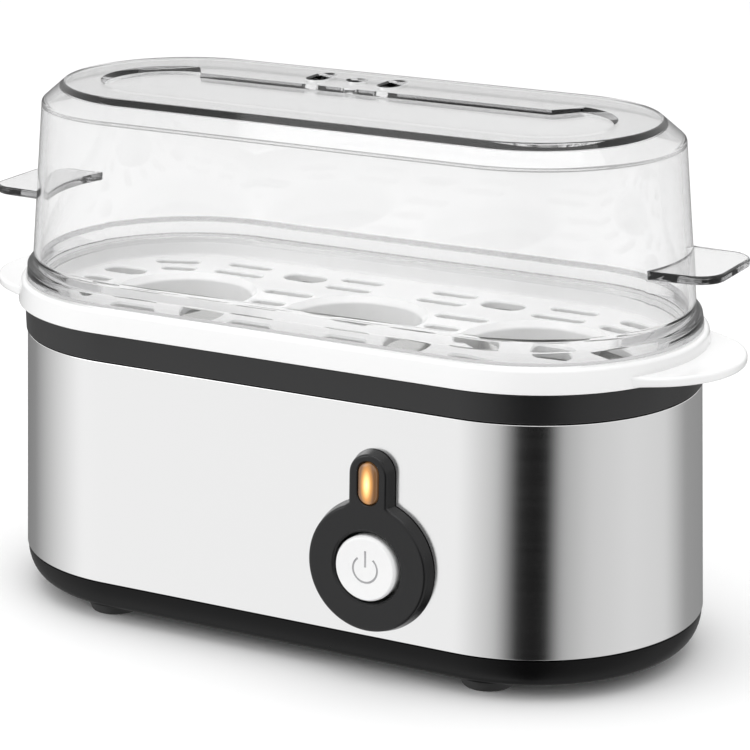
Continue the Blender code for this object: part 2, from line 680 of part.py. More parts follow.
def cord_gland():
    """Empty gland in the rear wall for the mains lead, with its nut inside."""
    back = (0, 1, 0)
    wall = steel_radius(GLAND_Z)
    profile = [
        (GLAND_BORE, 35.0), (GLAND_BODY_RADIUS, 35.0), (GLAND_BODY_RADIUS, wall + 0.6),
        (8.2, wall + 0.6), (8.2, wall + 2.4), (6.6, wall + 2.8), (5.4, GLAND_REACH - 0.6),
        (4.8, GLAND_REACH), (GLAND_BORE, GLAND_REACH),
    ]
    place_at = (GLAND_X, 0, GLAND_Z)
    solid("cord_gland", turn_profile(bmesh.new(), profile, place_at, back, ROUND["plain"]), "black_plastic")
    outline = [(GLAND_X + dx, GLAND_Z + dz) for dx, dz in arc((0, 0), 8.4, 0, 300, 5)]
    nut = solid("gland_nut", prism(bmesh.new(), outline, 37.4, 41.2, along="Y"), "black_plastic")
    cut(nut, rod(bmesh.new(), (GLAND_X, 36, GLAND_Z), back, GLAND_BODY_RADIUS + TOUCH_GAP, 7, 16))


def terminal_block():
    """Three-way block on the base floor, with a screw in each well."""
    low = (BLOCK_X - BLOCK_HALF_LENGTH, BLOCK_FRONT_Y, BLOCK_UNDER_Z)
    high = (BLOCK_X + BLOCK_HALF_LENGTH, BLOCK_BACK_Y, BLOCK_TOP_Z)
    block = solid("terminal_block", box(bmesh.new(), low, high), "ceramic")
    middle = (BLOCK_FRONT_Y + BLOCK_BACK_Y) / 2
    wells = bmesh.new()
    screw = [(0, 10.3), (2.0, 10.3), (2.0, 14.2), (1.5, 14.7), (0, 14.7)]
    for label, step in (("live", 1), ("earth", 0), ("neutral", -1)):
        x = BLOCK_X + step * BLOCK_PITCH
        rod(wells, (x, middle, 10), (0, 0, 1), 2.4, 9, ROUND["small"])
        bm = turn_profile(bmesh.new(), screw, (x, middle, 0), (0, 0, 1), 10)
        solid(f"terminal_screw_{label}", bm, "zinc")
    cut(block, wells)


def wires():
    """The inside wiring: supply, switch, thermostat, fuse, heater, earth and lamp leads."""
    face = BLOCK_FRONT_Y - TOUCH_GAP
    live_x, neutral_x = BLOCK_X + BLOCK_PITCH, BLOCK_X - BLOCK_PITCH
    tab_left, tab_right, tab_z = PANEL_X - TAB_X, PANEL_X + TAB_X, PANEL_Z
    lamp_x, lamp_z = PANEL_X, PANEL_Z + LENS_Z - 2.5
    routes = {
        "live_wire": (
            "wire_brown", 0.9,
            [(tab_left, -11.6, tab_z - 1.1), (tab_left - 0.4, -8.0, 27.6),
             (20.0, -3.0, 18.0), (4.0, 2.0, 10.0),
             (-12.0, 3.0, 9.5), (live_x, 6.5, 10.0), (live_x, face, 10.5)],
        ),
        "switch_wire": (
            "wire_brown", 0.9,
            [(tab_right, -11.6, tab_z - 1.1), (tab_right - 0.2, -8.0, 30.1),
             (28.0, -5.0, 40.0), (14.0, -14.0, 46.0),
             (3.0, -18.5, 49.5), (0.0, -17.5, 52.0), (0.0, -13.8, 52.4)],
        ),
        "thermostat_wire": (
            "wire_white", 0.9,
            [(0.0, 13.8, 52.4), (0.0, 17.5, 52.0), (6.0, 18.5, 48.5), (20.0, 11.0, 46.0),
             (33.0, 3.0, 48.0), (36.8, 0.0, 52.0), (36.8, 0.0, 57.7)],
        ),
        "fuse_wire": (
            "wire_white", 0.9,
            [(19.2, 0.0, 57.7), (19.2, 0.0, 52.0), (17.0, -3.0, 44.0), (-8.0, -10.0, 38.0),
             (-30.0, -13.0, 30.0), (-38.5, -14.0, 28.0), (-40.0, -14.0, 31.5), (-40.0, -14.0, 35.7)],
        ),
        "neutral_wire": (
            "wire_blue", 0.9,
            [(-40.0, 14.0, 35.7), (-40.0, 14.0, 31.0), (-40.5, 8.0, 22.0), (-40.0, 3.0, 14.0),
             (neutral_x, 5.0, 10.2), (neutral_x, face, 10.5)],
        ),
        "earth_wire": (
            "wire_green", 0.9,
            [(BLOCK_X, face, 10.5), (BLOCK_X, 6.0, 10.0), (-34.0, -2.0, 11.0), (-48.0, -4.0, 20.0),
             (-55.0, -1.0, 34.0), (-STUD_X, 0.0, 44.0), (-STUD_X, 0.0, STUD_END_Z - TOUCH_GAP)],
        ),
        "lamp_wire_live": (
            "wire_white", 0.6,
            [(lamp_x + 2.2, -28.0, lamp_z), (lamp_x + 2.7, -25.0, lamp_z - 1.0), (34.1, -18.0, 41.0),
             (33.1, -14.5, 35.1), (tab_right, -14.5, tab_z + 2.4)],
        ),
        "lamp_wire_neutral": (
            "wire_white", 0.6,
            [(lamp_x - 2.3, -28.0, lamp_z), (lamp_x - 2.8, -25.0, lamp_z - 1.0),
             (12.0, -20.0, 36.0), (-10.0, -8.0, 18.0),
             (-30.0, -4.0, 7.5), (neutral_x - 2.2, 4.0, 8.0), (neutral_x - 2.2, face, 13.5)],
        ),
    }
    for name, (finish, radius, points) in routes.items():
        tube(name, smooth_route([Vector(p) for p in points], 2), radius, finish)


# ---- tray and lid ----


def handle_outline(side, root, half_width, outer):
    """A plate outline whose inner edge follows the half turn, mirrored for the left side."""
    spread = math.degrees(math.asin(half_width / root))
    inner = arc((STRAIGHT, 0), root, spread, -spread, 10)
    return [(side * x, y) for x, y in inner + outer]


def tray_slots():
    """(x, y, length, width, turn) of each steam slot in the tray floor.

    One quarter's slots are listed, and mirrored into the other three. Two more lie on the X axis.
    """
    middle = STRAIGHT / 2
    quarter = [
        (13.5, 21.6, 13.0, 3.6, 0), (13.5, 29.6, 12.0, 3.6, 0), (29.0, 26.0, 12.0, 7.0, 0),
        (46.8, 21.6, 14.5, 3.6, 0), (47.8, 29.6, 13.0, 3.6, 0), (64.0, 19.0, 9.5, 4.0, -16),
        (68.0, 25.0, 12.0, 4.0, -20), (75.5, 10.5, 12.0, 6.0, 0), (middle, 10.4, 14.0, 4.0, 0),
    ]
    slots = []
    for side in (-1, 1):
        slots += [(side * middle, 0, 9.5, 4.0, 0), (side * 78.0, 0, 9.0, 4.0, 0)]
        for x, y, length, width, turn in quarter:
            slots += [(side * x, end * y, length, width, side * end * turn) for end in (-1, 1)]
    return slots


def egg_tray():
    """White tray: rim hooked over the ring, pierced floor, three egg seats, two side handles."""
    profile = [
        (36.4, TRAY_TOP_Z), (37.2, 79.0), (38.0, 82.9), (38.6, 83.5), (42.3, 83.5), (42.9, 82.7),
        (43.2, 80.6), (43.6, 77.5), (42.0, 77.5), (41.8, 81.7), (39.5, 81.7), (38.9, 77.3),
        (38.2, 76.7), (36.4, TRAY_UNDER_Z),
    ]
    tray = solid("egg_tray", oval_sweep(profile), "white_plastic")
    handles, collars, holes = bmesh.new(), bmesh.new(), bmesh.new()
    half = TRAY_HANDLE_HALF_WIDTH
    start = math.degrees(math.atan2(half, STRAIGHT + 36.2 - TRAY_HANDLE_X))
    outer = arc((TRAY_HANDLE_X, 0), TRAY_HANDLE_RADIUS, -start, start, 16)
    for side in (-1, 1):
        prism(handles, handle_outline(side, TRAY_HANDLE_ROOT, half, outer), *TRAY_HANDLE_Z)
    for x in (-STRAIGHT, 0, STRAIGHT):
        collar = disc((x, 0), SEAT_RADIUS + SEAT_WALL, ROUND["fine"])
        prism(collars, collar, SEAT_FOOT_Z, (TRAY_TOP_Z + TRAY_UNDER_Z) / 2)
        prism(holes, disc((x, 0), SEAT_RADIUS, ROUND["fine"]), SEAT_FOOT_Z - 1, TRAY_TOP_Z + 2)
    for x, y, length, width, turn in tray_slots():
        prism(holes, obround((x, y), length, width, turn, 3), TRAY_UNDER_Z - 1, TRAY_TOP_Z + 1)
    join(tray, handles)
    join(tray, collars)
    cut(tray, holes)


def lid():
    """Clear cover with a flared rim, a bevelled top with a shallow panel, vents and side grips."""
    profile = [
        (29.9, LID_TOP_Z), (30.9, 134.2), (35.7, 130.2), (36.15, 129.3), (39.6, 88.9), (39.9, 87.6),
        (40.8, 86.9), (41.6, 86.1), (41.6, 83.8), (37.8, 83.8), (37.4, 82.3), (36.2, 82.3), (37.8, 88.9),
        (34.4, 128.3), (29.8, 131.7),
    ]
    cover = solid("lid", oval_sweep(profile), "clear_plastic")
    outline = [(x, y + LID_RECESS_Y) for x, y in oval(LID_RECESS_RADIUS, LID_RECESS_STRAIGHT, 16)]
    tool = cut(cover, prism(bmesh.new(), outline, LID_RECESS_Z, LID_TOP_Z + 2))
    back_half = LEDGE_HALF_LENGTH + LEDGE_TAPER
    ledge = [
        (-LEDGE_HALF_LENGTH, LEDGE_FRONT_Y), (LEDGE_HALF_LENGTH, LEDGE_FRONT_Y),
        (back_half, LEDGE_BACK_Y), (-back_half, LEDGE_BACK_Y),
    ]
    cut(tool, prism(bmesh.new(), ledge, LID_RECESS_Z - 1, LID_TOP_Z + 3))
    vents = bmesh.new()
    for side in (-1, 1):
        vent = obround((VENT_X + side * VENT_PITCH, VENT_Y), VENT_LENGTH, VENT_WIDTH, 90)
        prism(vents, vent, LID_TOP_Z - 4, LID_TOP_Z + 1)
    prism(vents, disc((VENT_X, VENT_Y), VENT_WIDTH / 2, ROUND["small"]), LID_TOP_Z - 4, LID_TOP_Z + 1)
    cut(cover, vents)
    reach, half, corner = LID_HANDLE_REACH, LID_HANDLE_HALF_WIDTH, LID_HANDLE_CORNER
    outer = arc((reach - corner, corner - half), corner, -90, 0, 6)
    outer += arc((reach - corner, half - corner), corner, 0, 90, 6)
    grips = bmesh.new()
    for side in (-1, 1):
        prism(grips, handle_outline(side, LID_HANDLE_ROOT, half, outer), *LID_HANDLE_Z)
    join(cover, grips)


def build():
    panel = panel_frame()
    base_shell()
    feet()
    base_screws()
    steel_sleeve(panel)
    top_ring()
    dish_gasket()
    water_dish()
    heat_plate()
    heating_element()
    element_terminals()
    thermostat()
    thermostat_clip()
    thermal_fuse()
    clamp_bars()
    control_bezel(panel)
    power_button(panel)
    button_spring(panel)
    push_switch(panel)
    indicator(panel)
    cord_gland()
    terminal_block()
    wires()
    egg_tray()
    lid()


clear_scene()
PARTS = new_collection("egg_cooker")
CUTTERS = new_collection("cutters")
build()
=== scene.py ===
# %% [markdown]
# # An egg cooker, finished in Blender
#
# A small electric cooker steams three eggs. Its solids come from a CAD model with plain faces, made to be
# measured and moved. This file gives every part that can be seen a fine surface and a finish of its own,
# around the same frame, so that each new piece still moves with the body that it belongs to.
#
# The first cell loads that frame. All lengths in the meshes are metres. A part's place is in its mesh, and
# every object stays at the origin.

import json
import math

import bmesh
import bpy
import numpy as np
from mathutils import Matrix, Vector


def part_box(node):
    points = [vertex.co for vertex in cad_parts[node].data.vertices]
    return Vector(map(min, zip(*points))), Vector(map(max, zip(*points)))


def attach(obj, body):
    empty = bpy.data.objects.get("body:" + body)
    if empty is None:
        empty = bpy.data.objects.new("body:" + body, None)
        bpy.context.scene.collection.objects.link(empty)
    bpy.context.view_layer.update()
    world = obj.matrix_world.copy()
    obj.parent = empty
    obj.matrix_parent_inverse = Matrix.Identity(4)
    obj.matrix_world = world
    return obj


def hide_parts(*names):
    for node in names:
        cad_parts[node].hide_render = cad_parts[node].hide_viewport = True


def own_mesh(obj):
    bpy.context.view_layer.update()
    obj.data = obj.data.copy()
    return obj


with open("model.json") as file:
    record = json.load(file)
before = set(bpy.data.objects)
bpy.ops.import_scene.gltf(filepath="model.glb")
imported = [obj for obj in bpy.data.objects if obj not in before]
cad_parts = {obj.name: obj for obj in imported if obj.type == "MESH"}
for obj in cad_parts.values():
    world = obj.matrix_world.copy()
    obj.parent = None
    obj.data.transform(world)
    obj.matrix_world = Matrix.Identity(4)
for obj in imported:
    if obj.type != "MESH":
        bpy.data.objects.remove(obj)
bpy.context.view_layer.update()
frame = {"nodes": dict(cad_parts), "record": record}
MM = 0.001
slot_of = {row["node"]: row["material_slot"] for row in frame["record"]["subparts"]}
body_of = {node: body for body, nodes in frame["record"]["behaviour"]["bodies"].items() for node in nodes}

# %% [markdown]
# ## Camera
#
# A catalogue picture of a small appliance is taken with a long lens from slightly above, so that the upright
# walls stay almost parallel. The camera looks at the middle of the body from the right of its front face.

# %% Camera
CAMERA_AZIMUTH = math.radians(28.47)
CAMERA_ELEVATION = math.radians(16.61)
CAMERA_DISTANCE = 0.7538
CAMERA_LENS = 142.93
CAMERA_TARGET = Vector((0.00727, -0.00274, 0.06418))

toward_camera = Vector((
    math.sin(CAMERA_AZIMUTH) * math.cos(CAMERA_ELEVATION),
    -math.cos(CAMERA_AZIMUTH) * math.cos(CAMERA_ELEVATION),
    math.sin(CAMERA_ELEVATION),
))
camera = bpy.data.objects.new("camera", bpy.data.cameras.new("camera"))
camera.data.lens = CAMERA_LENS
camera.location = CAMERA_TARGET + toward_camera * CAMERA_DISTANCE
camera.rotation_euler = (-toward_camera).to_track_quat("-Z", "Y").to_euler()
bpy.context.scene.collection.objects.link(camera)
bpy.context.scene.camera = camera
print("camera at", [round(value, 4) for value in camera.location])

# %% [markdown]
# ## From arrays to a piece
#
# Each surface below is worked out as a whole array of points on a grid. Three helpers turn such arrays into
# finished pieces. The first numbers the faces of a grid, the second makes the mesh and lets Blender turn all
# faces outwards, and the third hands the piece to the frame: the body that it moves with, the CAD nodes that
# it stands for, and the slot that its finish comes from.


# %% Grid faces, meshes and pieces
def grid_faces(rows, columns, wrap_rows, wrap_columns):
    """Corner numbers of a grid's quads: point (i, j) is i * columns + j, and a wrapped side joins up."""
    i = np.arange(rows if wrap_rows else rows - 1)[:, None]
    j = np.arange(columns if wrap_columns else columns - 1)[None, :]
    i_next, j_next = (i + 1) % rows, (j + 1) % columns
    corners = [i * columns + j, i_next * columns + j, i_next * columns + j_next, i * columns + j_next]
    return np.stack(np.broadcast_arrays(*corners), axis=-1).reshape(-1, 4)


def mesh_object(name, points, faces):
    """A closed surface from points in millimetres, with doubles merged and faces turned outwards."""
    mesh = bpy.data.meshes.new(name)
    mesh.from_pydata(np.asarray(points, float) * MM, [], faces)
    work = bmesh.new()
    work.from_mesh(mesh)
    bmesh.ops.remove_doubles(work, verts=work.verts, dist=1e-7)
    bmesh.ops.recalc_face_normals(work, faces=work.faces)
    work.to_mesh(mesh)
    work.free()
    made = bpy.data.objects.new(name, mesh)
    bpy.context.scene.collection.objects.link(made)
    return made


def settle(piece):
    """Works the live modifiers into the mesh."""
    seen = piece.evaluated_get(bpy.context.evaluated_depsgraph_get())
    mesh = bpy.data.meshes.new_from_object(seen)
    piece.modifiers.clear()
    piece.data = mesh


def combine(piece, tool, operation):
    """Cuts the tool from the piece or joins it on, then throws the tool away."""
    step = piece.modifiers.new(operation, "BOOLEAN")
    step.operation = operation
    step.solver = "EXACT"
    step.object = tool
    settle(piece)
    work = bmesh.new()
    work.from_mesh(piece.data)
    bmesh.ops.remove_doubles(work, verts=work.verts, dist=2e-6)
    work.to_mesh(piece.data)
    work.free()
    bpy.data.objects.remove(tool)


def hand_over(piece, *nodes, sharp=32):
    """Shades a piece, sets its faces' weight on its normals, and ties it to the CAD nodes it stands for."""
    piece.data.shade_smooth()
    piece.data.set_sharp_from_angle(angle=math.radians(sharp))
    weighted = piece.modifiers.new("weighted normals", "WEIGHTED_NORMAL")
    weighted.keep_sharp = True
    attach(piece, body_of[nodes[0]])
    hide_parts(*nodes)
    piece.data.materials.clear()
    piece.data.materials.append(finishes[slot_of[nodes[0]]])
    print(f"{piece.name}: {len(piece.data.polygons)} faces")
    return piece


# %% [markdown]
# ## Profiles with rounded corners
#
# Moulded plastic and pressed steel have no truly sharp corners, and the thin line of light along a rounded
# edge is what makes a picture of them look real. A profile is written with its few corner points and a
# radius for each, and this helper puts the arcs in.


# %% Rounded corners
def fillet(corners, steps=5, closed=False):
    """Rounds the corners (across, height, radius) of a profile.

    With the legs leaving a corner by unit vectors p and q, half the angle between them h, and radius R, the
    arc touches each leg R / tan(h) away from the corner, about a centre R / sin(h) away along p + q.
    """
    rows = np.asarray(corners, float)
    points, radii = rows[:, :2], rows[:, 2]
    parts = []
    for i, here in enumerate(points):
        if radii[i] == 0 or (not closed and i in (0, len(points) - 1)):
            parts.append(here[None])
            continue
        p, q = points[i - 1] - here, points[(i + 1) % len(points)] - here
        legs = np.linalg.norm(p), np.linalg.norm(q)
        p, q = p / legs[0], q / legs[1]
        half = math.acos(np.clip(p @ q, -1, 1)) / 2
        radius = min(radii[i], 0.48 * min(legs) * math.tan(half))
        centre = here + (p + q) / np.linalg.norm(p + q) * radius / math.sin(half)
        first = here + p * radius / math.tan(half) - centre
        last = here + q * radius / math.tan(half) - centre
        sweep = math.pi - 2 * half
        t = np.linspace(0, 1, steps + 1)[:, None]
        parts.append(centre + (np.sin((1 - t) * sweep) * first + np.sin(t * sweep) * last) / math.sin(sweep))
    return np.concatenate(parts)


# %% [markdown]
# ## Surfaces carried round the oval
#
# The whole housing has one plan: two half turns joined by straights. Its half length and its radii are read
# from the steel band in the frame. A profile carried along this oval makes the band, the base, the ring, the
# dish, the tray and the lid, so they all nest exactly.

# %% Oval sweep
sleeve_low, sleeve_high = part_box("steel_sleeve")
STRAIGHT = (sleeve_high.x - sleeve_high.y) / MM
TURN_STEPS = 60
UP = (0, 0, 1)


def oval_line(radius, straight=STRAIGHT, steps=TURN_STEPS):
    """The oval's outline: at angle a about the centre of its own end, (centre + r cos a, r sin a)."""
    turn = np.linspace(-math.pi / 2, math.pi / 2, steps + 1)
    angle = np.concatenate([turn, turn + math.pi])
    centre = np.repeat([straight, -straight], steps + 1)
    return np.stack([centre + radius * np.cos(angle), radius * np.sin(angle)], axis=-1)


def oval_cap(steps=TURN_STEPS):
    """Faces that close an oval outline: each point on its rear half joins its mirror point in front."""
    rear = np.arange(steps // 2, steps + 1 + steps // 2 + 1)
    front = np.concatenate([np.arange(steps // 2, -1, -1), np.arange(2 * steps + 1, steps + steps // 2, -1)])
    quads = np.stack([rear[:-1], rear[1:], front[1:], front[:-1]], axis=-1).tolist()
    return [list(dict.fromkeys(quad)) for quad in quads]


def oval_sweep(name, profile, closed=False):
    """Carries a (radius, height) profile round the oval: every radius is its own outline.

    An open profile leaves an oval hole at each end, which strips from front to rear close.
    """
    outlines = np.stack([oval_line(radius) for radius in profile[:, 0]], axis=1)
    heights = np.broadcast_to(profile[:, 1], outlines.shape[:2])
    points = np.concatenate([outlines, heights[..., None]], axis=-1)
    rows, columns = heights.shape
    faces = grid_faces(rows, columns, True, closed).tolist()
    if not closed:
        strip = oval_cap()
        faces += [[row * columns + end for row in face] for end in (0, columns - 1) for face in strip]
    return mesh_object(name, points.reshape(-1, 3), faces)


def turned(name, profile, centre, axis, steps=64, closed=False):
    """Turns a (radius, along) profile about an axis: centre + axis * along + radius * (u cos a + v sin a)."""
    axis = Vector(axis).normalized()
    u = axis.orthogonal().normalized()
    v = axis.cross(u)
    angle = np.linspace(0, 2 * math.pi, steps, endpoint=False)[:, None, None]
    across = np.cos(angle) * np.array(u) + np.sin(angle) * np.array(v)
    points = np.array(centre) + profile[None, :, :1] * across + profile[None, :, 1:] * np.array(axis)
    return mesh_object(name, points.reshape(-1, 3), grid_faces(steps, len(profile), True, closed).tolist())


def stack(name, outlines):
    """Skins flat outlines of equally many points, and closes the first and the last with a face."""
    points = np.asarray(outlines, float)
    layers, count = points.shape[:2]
    faces = grid_faces(layers, count, False, True).tolist()
    faces += [np.arange(count)[::-1].tolist(), ((layers - 1) * count + np.arange(count)).tolist()]
    return mesh_object(name, points.reshape(-1, 3), faces)


def drawn_in(outline, inset):
    """An outline moved inwards: each point goes back along its normal, a quarter turn from the line there."""
    along = np.roll(outline, -1, axis=0) - np.roll(outline, 1, axis=0)
    along /= np.linalg.norm(along, axis=1)[:, None]
    return outline - inset * np.stack([along[:, 1], -along[:, 0]], axis=-1)


def at_height(outline, height):
    """A flat outline's points at one height."""
    return np.column_stack([outline, np.full(len(outline), height)])


def stepped(name, outline, levels):
    """Skins an outline through (height, inset) levels, so a tool or a piece can open or narrow."""
    return stack(name, [at_height(drawn_in(outline, inset), height) for height, inset in levels])


def arc(centre, radius, start, end, steps):
    """Points of an arc, angles in degrees, both ends included."""
    angle = np.radians(np.linspace(start, end, steps + 1))
    return np.array(centre) + radius * np.stack([np.cos(angle), np.sin(angle)], axis=-1)


def obround(centre, length, width, turn=0.0, steps=10):
    """A slot with round ends: two half circles, moved apart along X and turned by an angle in degrees."""
    half = (length - width) / 2
    shape = np.concatenate([
        arc((half, 0), width / 2, -90, 90, steps),
        arc((-half, 0), width / 2, 90, 270, steps),
    ])
    cos, sin = math.cos(math.radians(turn)), math.sin(math.radians(turn))
    return np.array(centre) + shape @ np.array([[cos, sin], [-sin, cos]])


print("oval half length", round(STRAIGHT, 2), "mm")

# %% [markdown]
# ## Finishes
#
# Most of the finishes share two effects, so each is a node group with its own numbers in every material.
# *Fine grain* is the slight unevenness of any moulded or pressed surface. It puts out a value for roughness
# and a height for a Bump node. *Brushing* is the same idea stretched along one direction, as left by a
# polishing belt.


# %% Shader groups
def new_group(name, inputs, outputs):
    """An empty node group with the given number sockets."""
    group = bpy.data.node_groups.new(name, "ShaderNodeTree")
    for label, value in inputs.items():
        socket = group.interface.new_socket(label, in_out="INPUT", socket_type="NodeSocketFloat")
        socket.default_value = value
    for label in outputs:
        group.interface.new_socket(label, in_out="OUTPUT", socket_type="NodeSocketFloat")
    return group


def wire(tree, source, target):
    tree.links.new(source, target)


def math_node(tree, operation, *values):
    """A Math node. Each value is a number for its socket or an output to wire to it."""
    made = tree.nodes.new("ShaderNodeMath")
    made.operation = operation
    for socket, value in zip(made.inputs, values):
        if isinstance(value, (int, float)):
            socket.default_value = value
        else:
            wire(tree, value, socket)
    return made.outputs[0]


def rough_value(group, entry, noise):
    """Roughness that varies with a noise: (noise - 0.5) * Spread + Base."""
    centred = math_node(group, "SUBTRACT", noise, 0.5)
    return math_node(group, "MULTIPLY_ADD", centred, entry.outputs["Spread"], entry.outputs["Base"])


def grain_group():
    """Two noises on object coordinates: one for gloss in large clouds and one for a fine texture."""
    group = new_group("fine_grain", {"Cloud Scale": 60.0, "Grain Scale": 2500.0, "Base": 0.3, "Spread": 0.1},
                      ("Roughness", "Height"))
    nodes = group.nodes
    entry, leave = nodes.new("NodeGroupInput"), nodes.new("NodeGroupOutput")
    place = nodes.new("ShaderNodeTexCoord")
    cloud, grain = nodes.new("ShaderNodeTexNoise"), nodes.new("ShaderNodeTexNoise")
    cloud.inputs["Detail"].default_value = 3.0
    grain.inputs["Detail"].default_value = 2.0
    for noise, label in ((cloud, "Cloud Scale"), (grain, "Grain Scale")):
        wire(group, place.outputs["Object"], noise.inputs["Vector"])
        wire(group, entry.outputs[label], noise.inputs["Scale"])
    wire(group, rough_value(group, entry, cloud.outputs["Fac"]), leave.inputs["Roughness"])
    wire(group, grain.outputs["Fac"], leave.inputs["Height"])
    return group


def brushing_group():
    """Noise stretched along the level direction, so that it reads as fine lines round the band."""
    group = new_group("brushing", {"Line Scale": 900.0, "Base": 0.2, "Spread": 0.12}, ("Roughness", "Height"))
    nodes = group.nodes
    entry, leave = nodes.new("NodeGroupInput"), nodes.new("NodeGroupOutput")
    place, stretch = nodes.new("ShaderNodeTexCoord"), nodes.new("ShaderNodeMapping")
    stretch.inputs["Scale"].default_value = (0.012, 0.012, 1.0)
    lines = nodes.new("ShaderNodeTexNoise")
    lines.inputs["Detail"].default_value = 4.0
    lines.inputs["Roughness"].default_value = 0.65
    wire(group, place.outputs["Object"], stretch.inputs["Vector"])
    wire(group, stretch.outputs["Vector"], lines.inputs["Vector"])
    wire(group, entry.outputs["Line Scale"], lines.inputs["Scale"])
    wire(group, rough_value(group, entry, lines.outputs["Fac"]), leave.inputs["Roughness"])
    wire(group, lines.outputs["Fac"], leave.inputs["Height"])
    return group


GRAIN, BRUSHING = grain_group(), brushing_group()
print("groups:", GRAIN.name, "and", BRUSHING.name)

# %% [markdown]
# A finish starts from a Principled shader with its constant values on its own sockets. The group then drives
# the roughness, and its height goes through a Bump node into the normal. The bump is a few hundredths of a
# millimetre at most: at this scale grain should be felt in the highlights and not seen as a pattern.


# %% Finish builder
def finish(name, colour, base, spread, group=GRAIN, bump=0.00002, metallic=0.0, **settings):
    """A Principled material with a group's roughness and bump. Further settings name the shader's sockets."""
    made = bpy.data.materials.new(name)
    made.use_nodes = True
    tree = made.node_tree
    shader = tree.nodes["Principled BSDF"]
    shader.inputs["Base Color"].default_value = (*colour, 1.0)
    shader.inputs["Metallic"].default_value = metallic
    for label, value in settings.items():
        shader.inputs[label.replace("_", " ")].default_value = value
    effect = tree.nodes.new("ShaderNodeGroup")
    effect.node_tree = group
    effect.inputs["Base"].default_value = base
    effect.inputs["Spread"].default_value = spread
    wire(tree, effect.outputs["Roughness"], shader.inputs["Roughness"])
    relief = tree.nodes.new("ShaderNodeBump")
    relief.inputs["Strength"].default_value = 0.5
    relief.inputs["Distance"].default_value = bump
    wire(tree, effect.outputs["Height"], relief.inputs["Height"])
    wire(tree, relief.outputs["Normal"], shader.inputs["Normal"])
    return made


def tinted(material, light, dark, scale):
    """Varies a finish's colour softly between two tones with one more noise on object coordinates."""
    tree = material.node_tree
    place, noise = tree.nodes.new("ShaderNodeTexCoord"), tree.nodes.new("ShaderNodeTexNoise")
    ramp = tree.nodes.new("ShaderNodeValToRGB")
    noise.inputs["Scale"].default_value = scale
    ramp.color_ramp.elements[0].position = 0.35
    ramp.color_ramp.elements[0].color = (*dark, 1.0)
    ramp.color_ramp.elements[1].position = 0.65
    ramp.color_ramp.elements[1].color = (*light, 1.0)
    wire(tree, place.outputs["Object"], noise.inputs["Vector"])
    wire(tree, noise.outputs["Fac"], ramp.inputs["Fac"])
    wire(tree, ramp.outputs["Color"], tree.nodes["Principled BSDF"].inputs["Base Color"])
    return material


# %% [markdown]
# The table of finishes follows the record's slots. The body is satin stainless steel. Base, ring and control
# panel are black plastics with more or less gloss, the tray and the button glossy white. Inside there are
# plated steel, bare aluminium, silicone, ceramic, phenolic and coloured wire, which show when the part is
# taken apart.

# %% The finishes
BLACK, WHITE = (0.006, 0.006, 0.0065), (0.82, 0.82, 0.82)
finishes = {
    "black_plastic": finish("glossy_black", BLACK, 0.24, 0.06, Specular_IOR_Level=0.4),
    "ring_plastic": finish("satin_black", (0.01, 0.01, 0.0105), 0.3, 0.06, bump=0.00003),
    "foot_rubber": finish("foot_rubber", (0.012, 0.012, 0.012), 0.62, 0.15, bump=0.00012),
    "steel": finish("satin_steel", (0.87, 0.87, 0.87), 0.17, 0.05, BRUSHING, 0.000004, 1.0),
    "dish_steel": finish("polished_steel", (0.72, 0.72, 0.71), 0.16, 0.08, bump=0.00001, metallic=1.0),
    "zinc": tinted(finish("zinc_plate", (0.5, 0.5, 0.48), 0.35, 0.2, metallic=1.0),
                   (0.62, 0.61, 0.56), (0.44, 0.45, 0.45), 300.0),
    "aluminium": tinted(finish("cast_aluminium", (0.7, 0.71, 0.72), 0.45, 0.2, bump=0.00008, metallic=1.0),
                        (0.74, 0.75, 0.76), (0.6, 0.61, 0.62), 120.0),
    "silicone": finish("red_silicone", (0.5, 0.1, 0.05), 0.55, 0.1, Sheen_Weight=0.15),
    "element_sheath": tinted(finish("heater_sheath", (0.3, 0.3, 0.29), 0.45, 0.2, metallic=1.0),
                             (0.36, 0.34, 0.31), (0.2, 0.19, 0.2), 90.0),
    "ceramic": tinted(finish("glazed_ceramic", (0.78, 0.76, 0.7), 0.35, 0.15, bump=0.00006),
                      (0.8, 0.78, 0.72), (0.72, 0.7, 0.64), 400.0),
    "phenolic": tinted(finish("phenolic", (0.05, 0.03, 0.02), 0.42, 0.12),
                       (0.06, 0.035, 0.022), (0.035, 0.02, 0.014), 700.0),
    "white_plastic": finish("glossy_white", WHITE, 0.2, 0.05, Coat_Weight=0.3, Coat_Roughness=0.06),
    "lamp_glass": finish("lamp_glass", (0.95, 0.8, 0.65), 0.05, 0.03, Transmission_Weight=1.0),
    "clear_plastic": finish("clear_lid", (0.98, 0.98, 0.98), 0.03, 0.015, bump=0.000002,
                            Transmission_Weight=1.0, IOR=1.46),
    "wire_brown": finish("brown_wire", (0.2, 0.07, 0.03), 0.45, 0.1),
    "wire_blue": finish("blue_wire", (0.04, 0.12, 0.5), 0.45, 0.1),
    "wire_green": finish("green_wire", (0.15, 0.4, 0.06), 0.45, 0.1),
    "wire_white": finish("woven_white", (0.7, 0.7, 0.68), 0.7, 0.15, bump=0.00015),
}
# Painted shade: the base alone gets a darker, less glossy copy of the black plastic, standing in for the
# shadowed floor that its lower curve would mirror.
shaded_base_black = finish("shaded_base_black", (0.003, 0.003, 0.0032), 0.26, 0.06, Specular_IOR_Level=0.15)
grey_lacquer = finish("grey_lacquer", (0.4, 0.4, 0.41), 0.4, 0.1)
print(len(finishes), "finishes")

# %% [markdown]
# A clear moulding isn't perfectly clear. It takes a little of the light along every millimetre, so it looks
# greyest along its outline, where a ray runs lengthways through the wall. A Volume Absorption shader gives
# just that, and leaves the surface shader as plain glass.

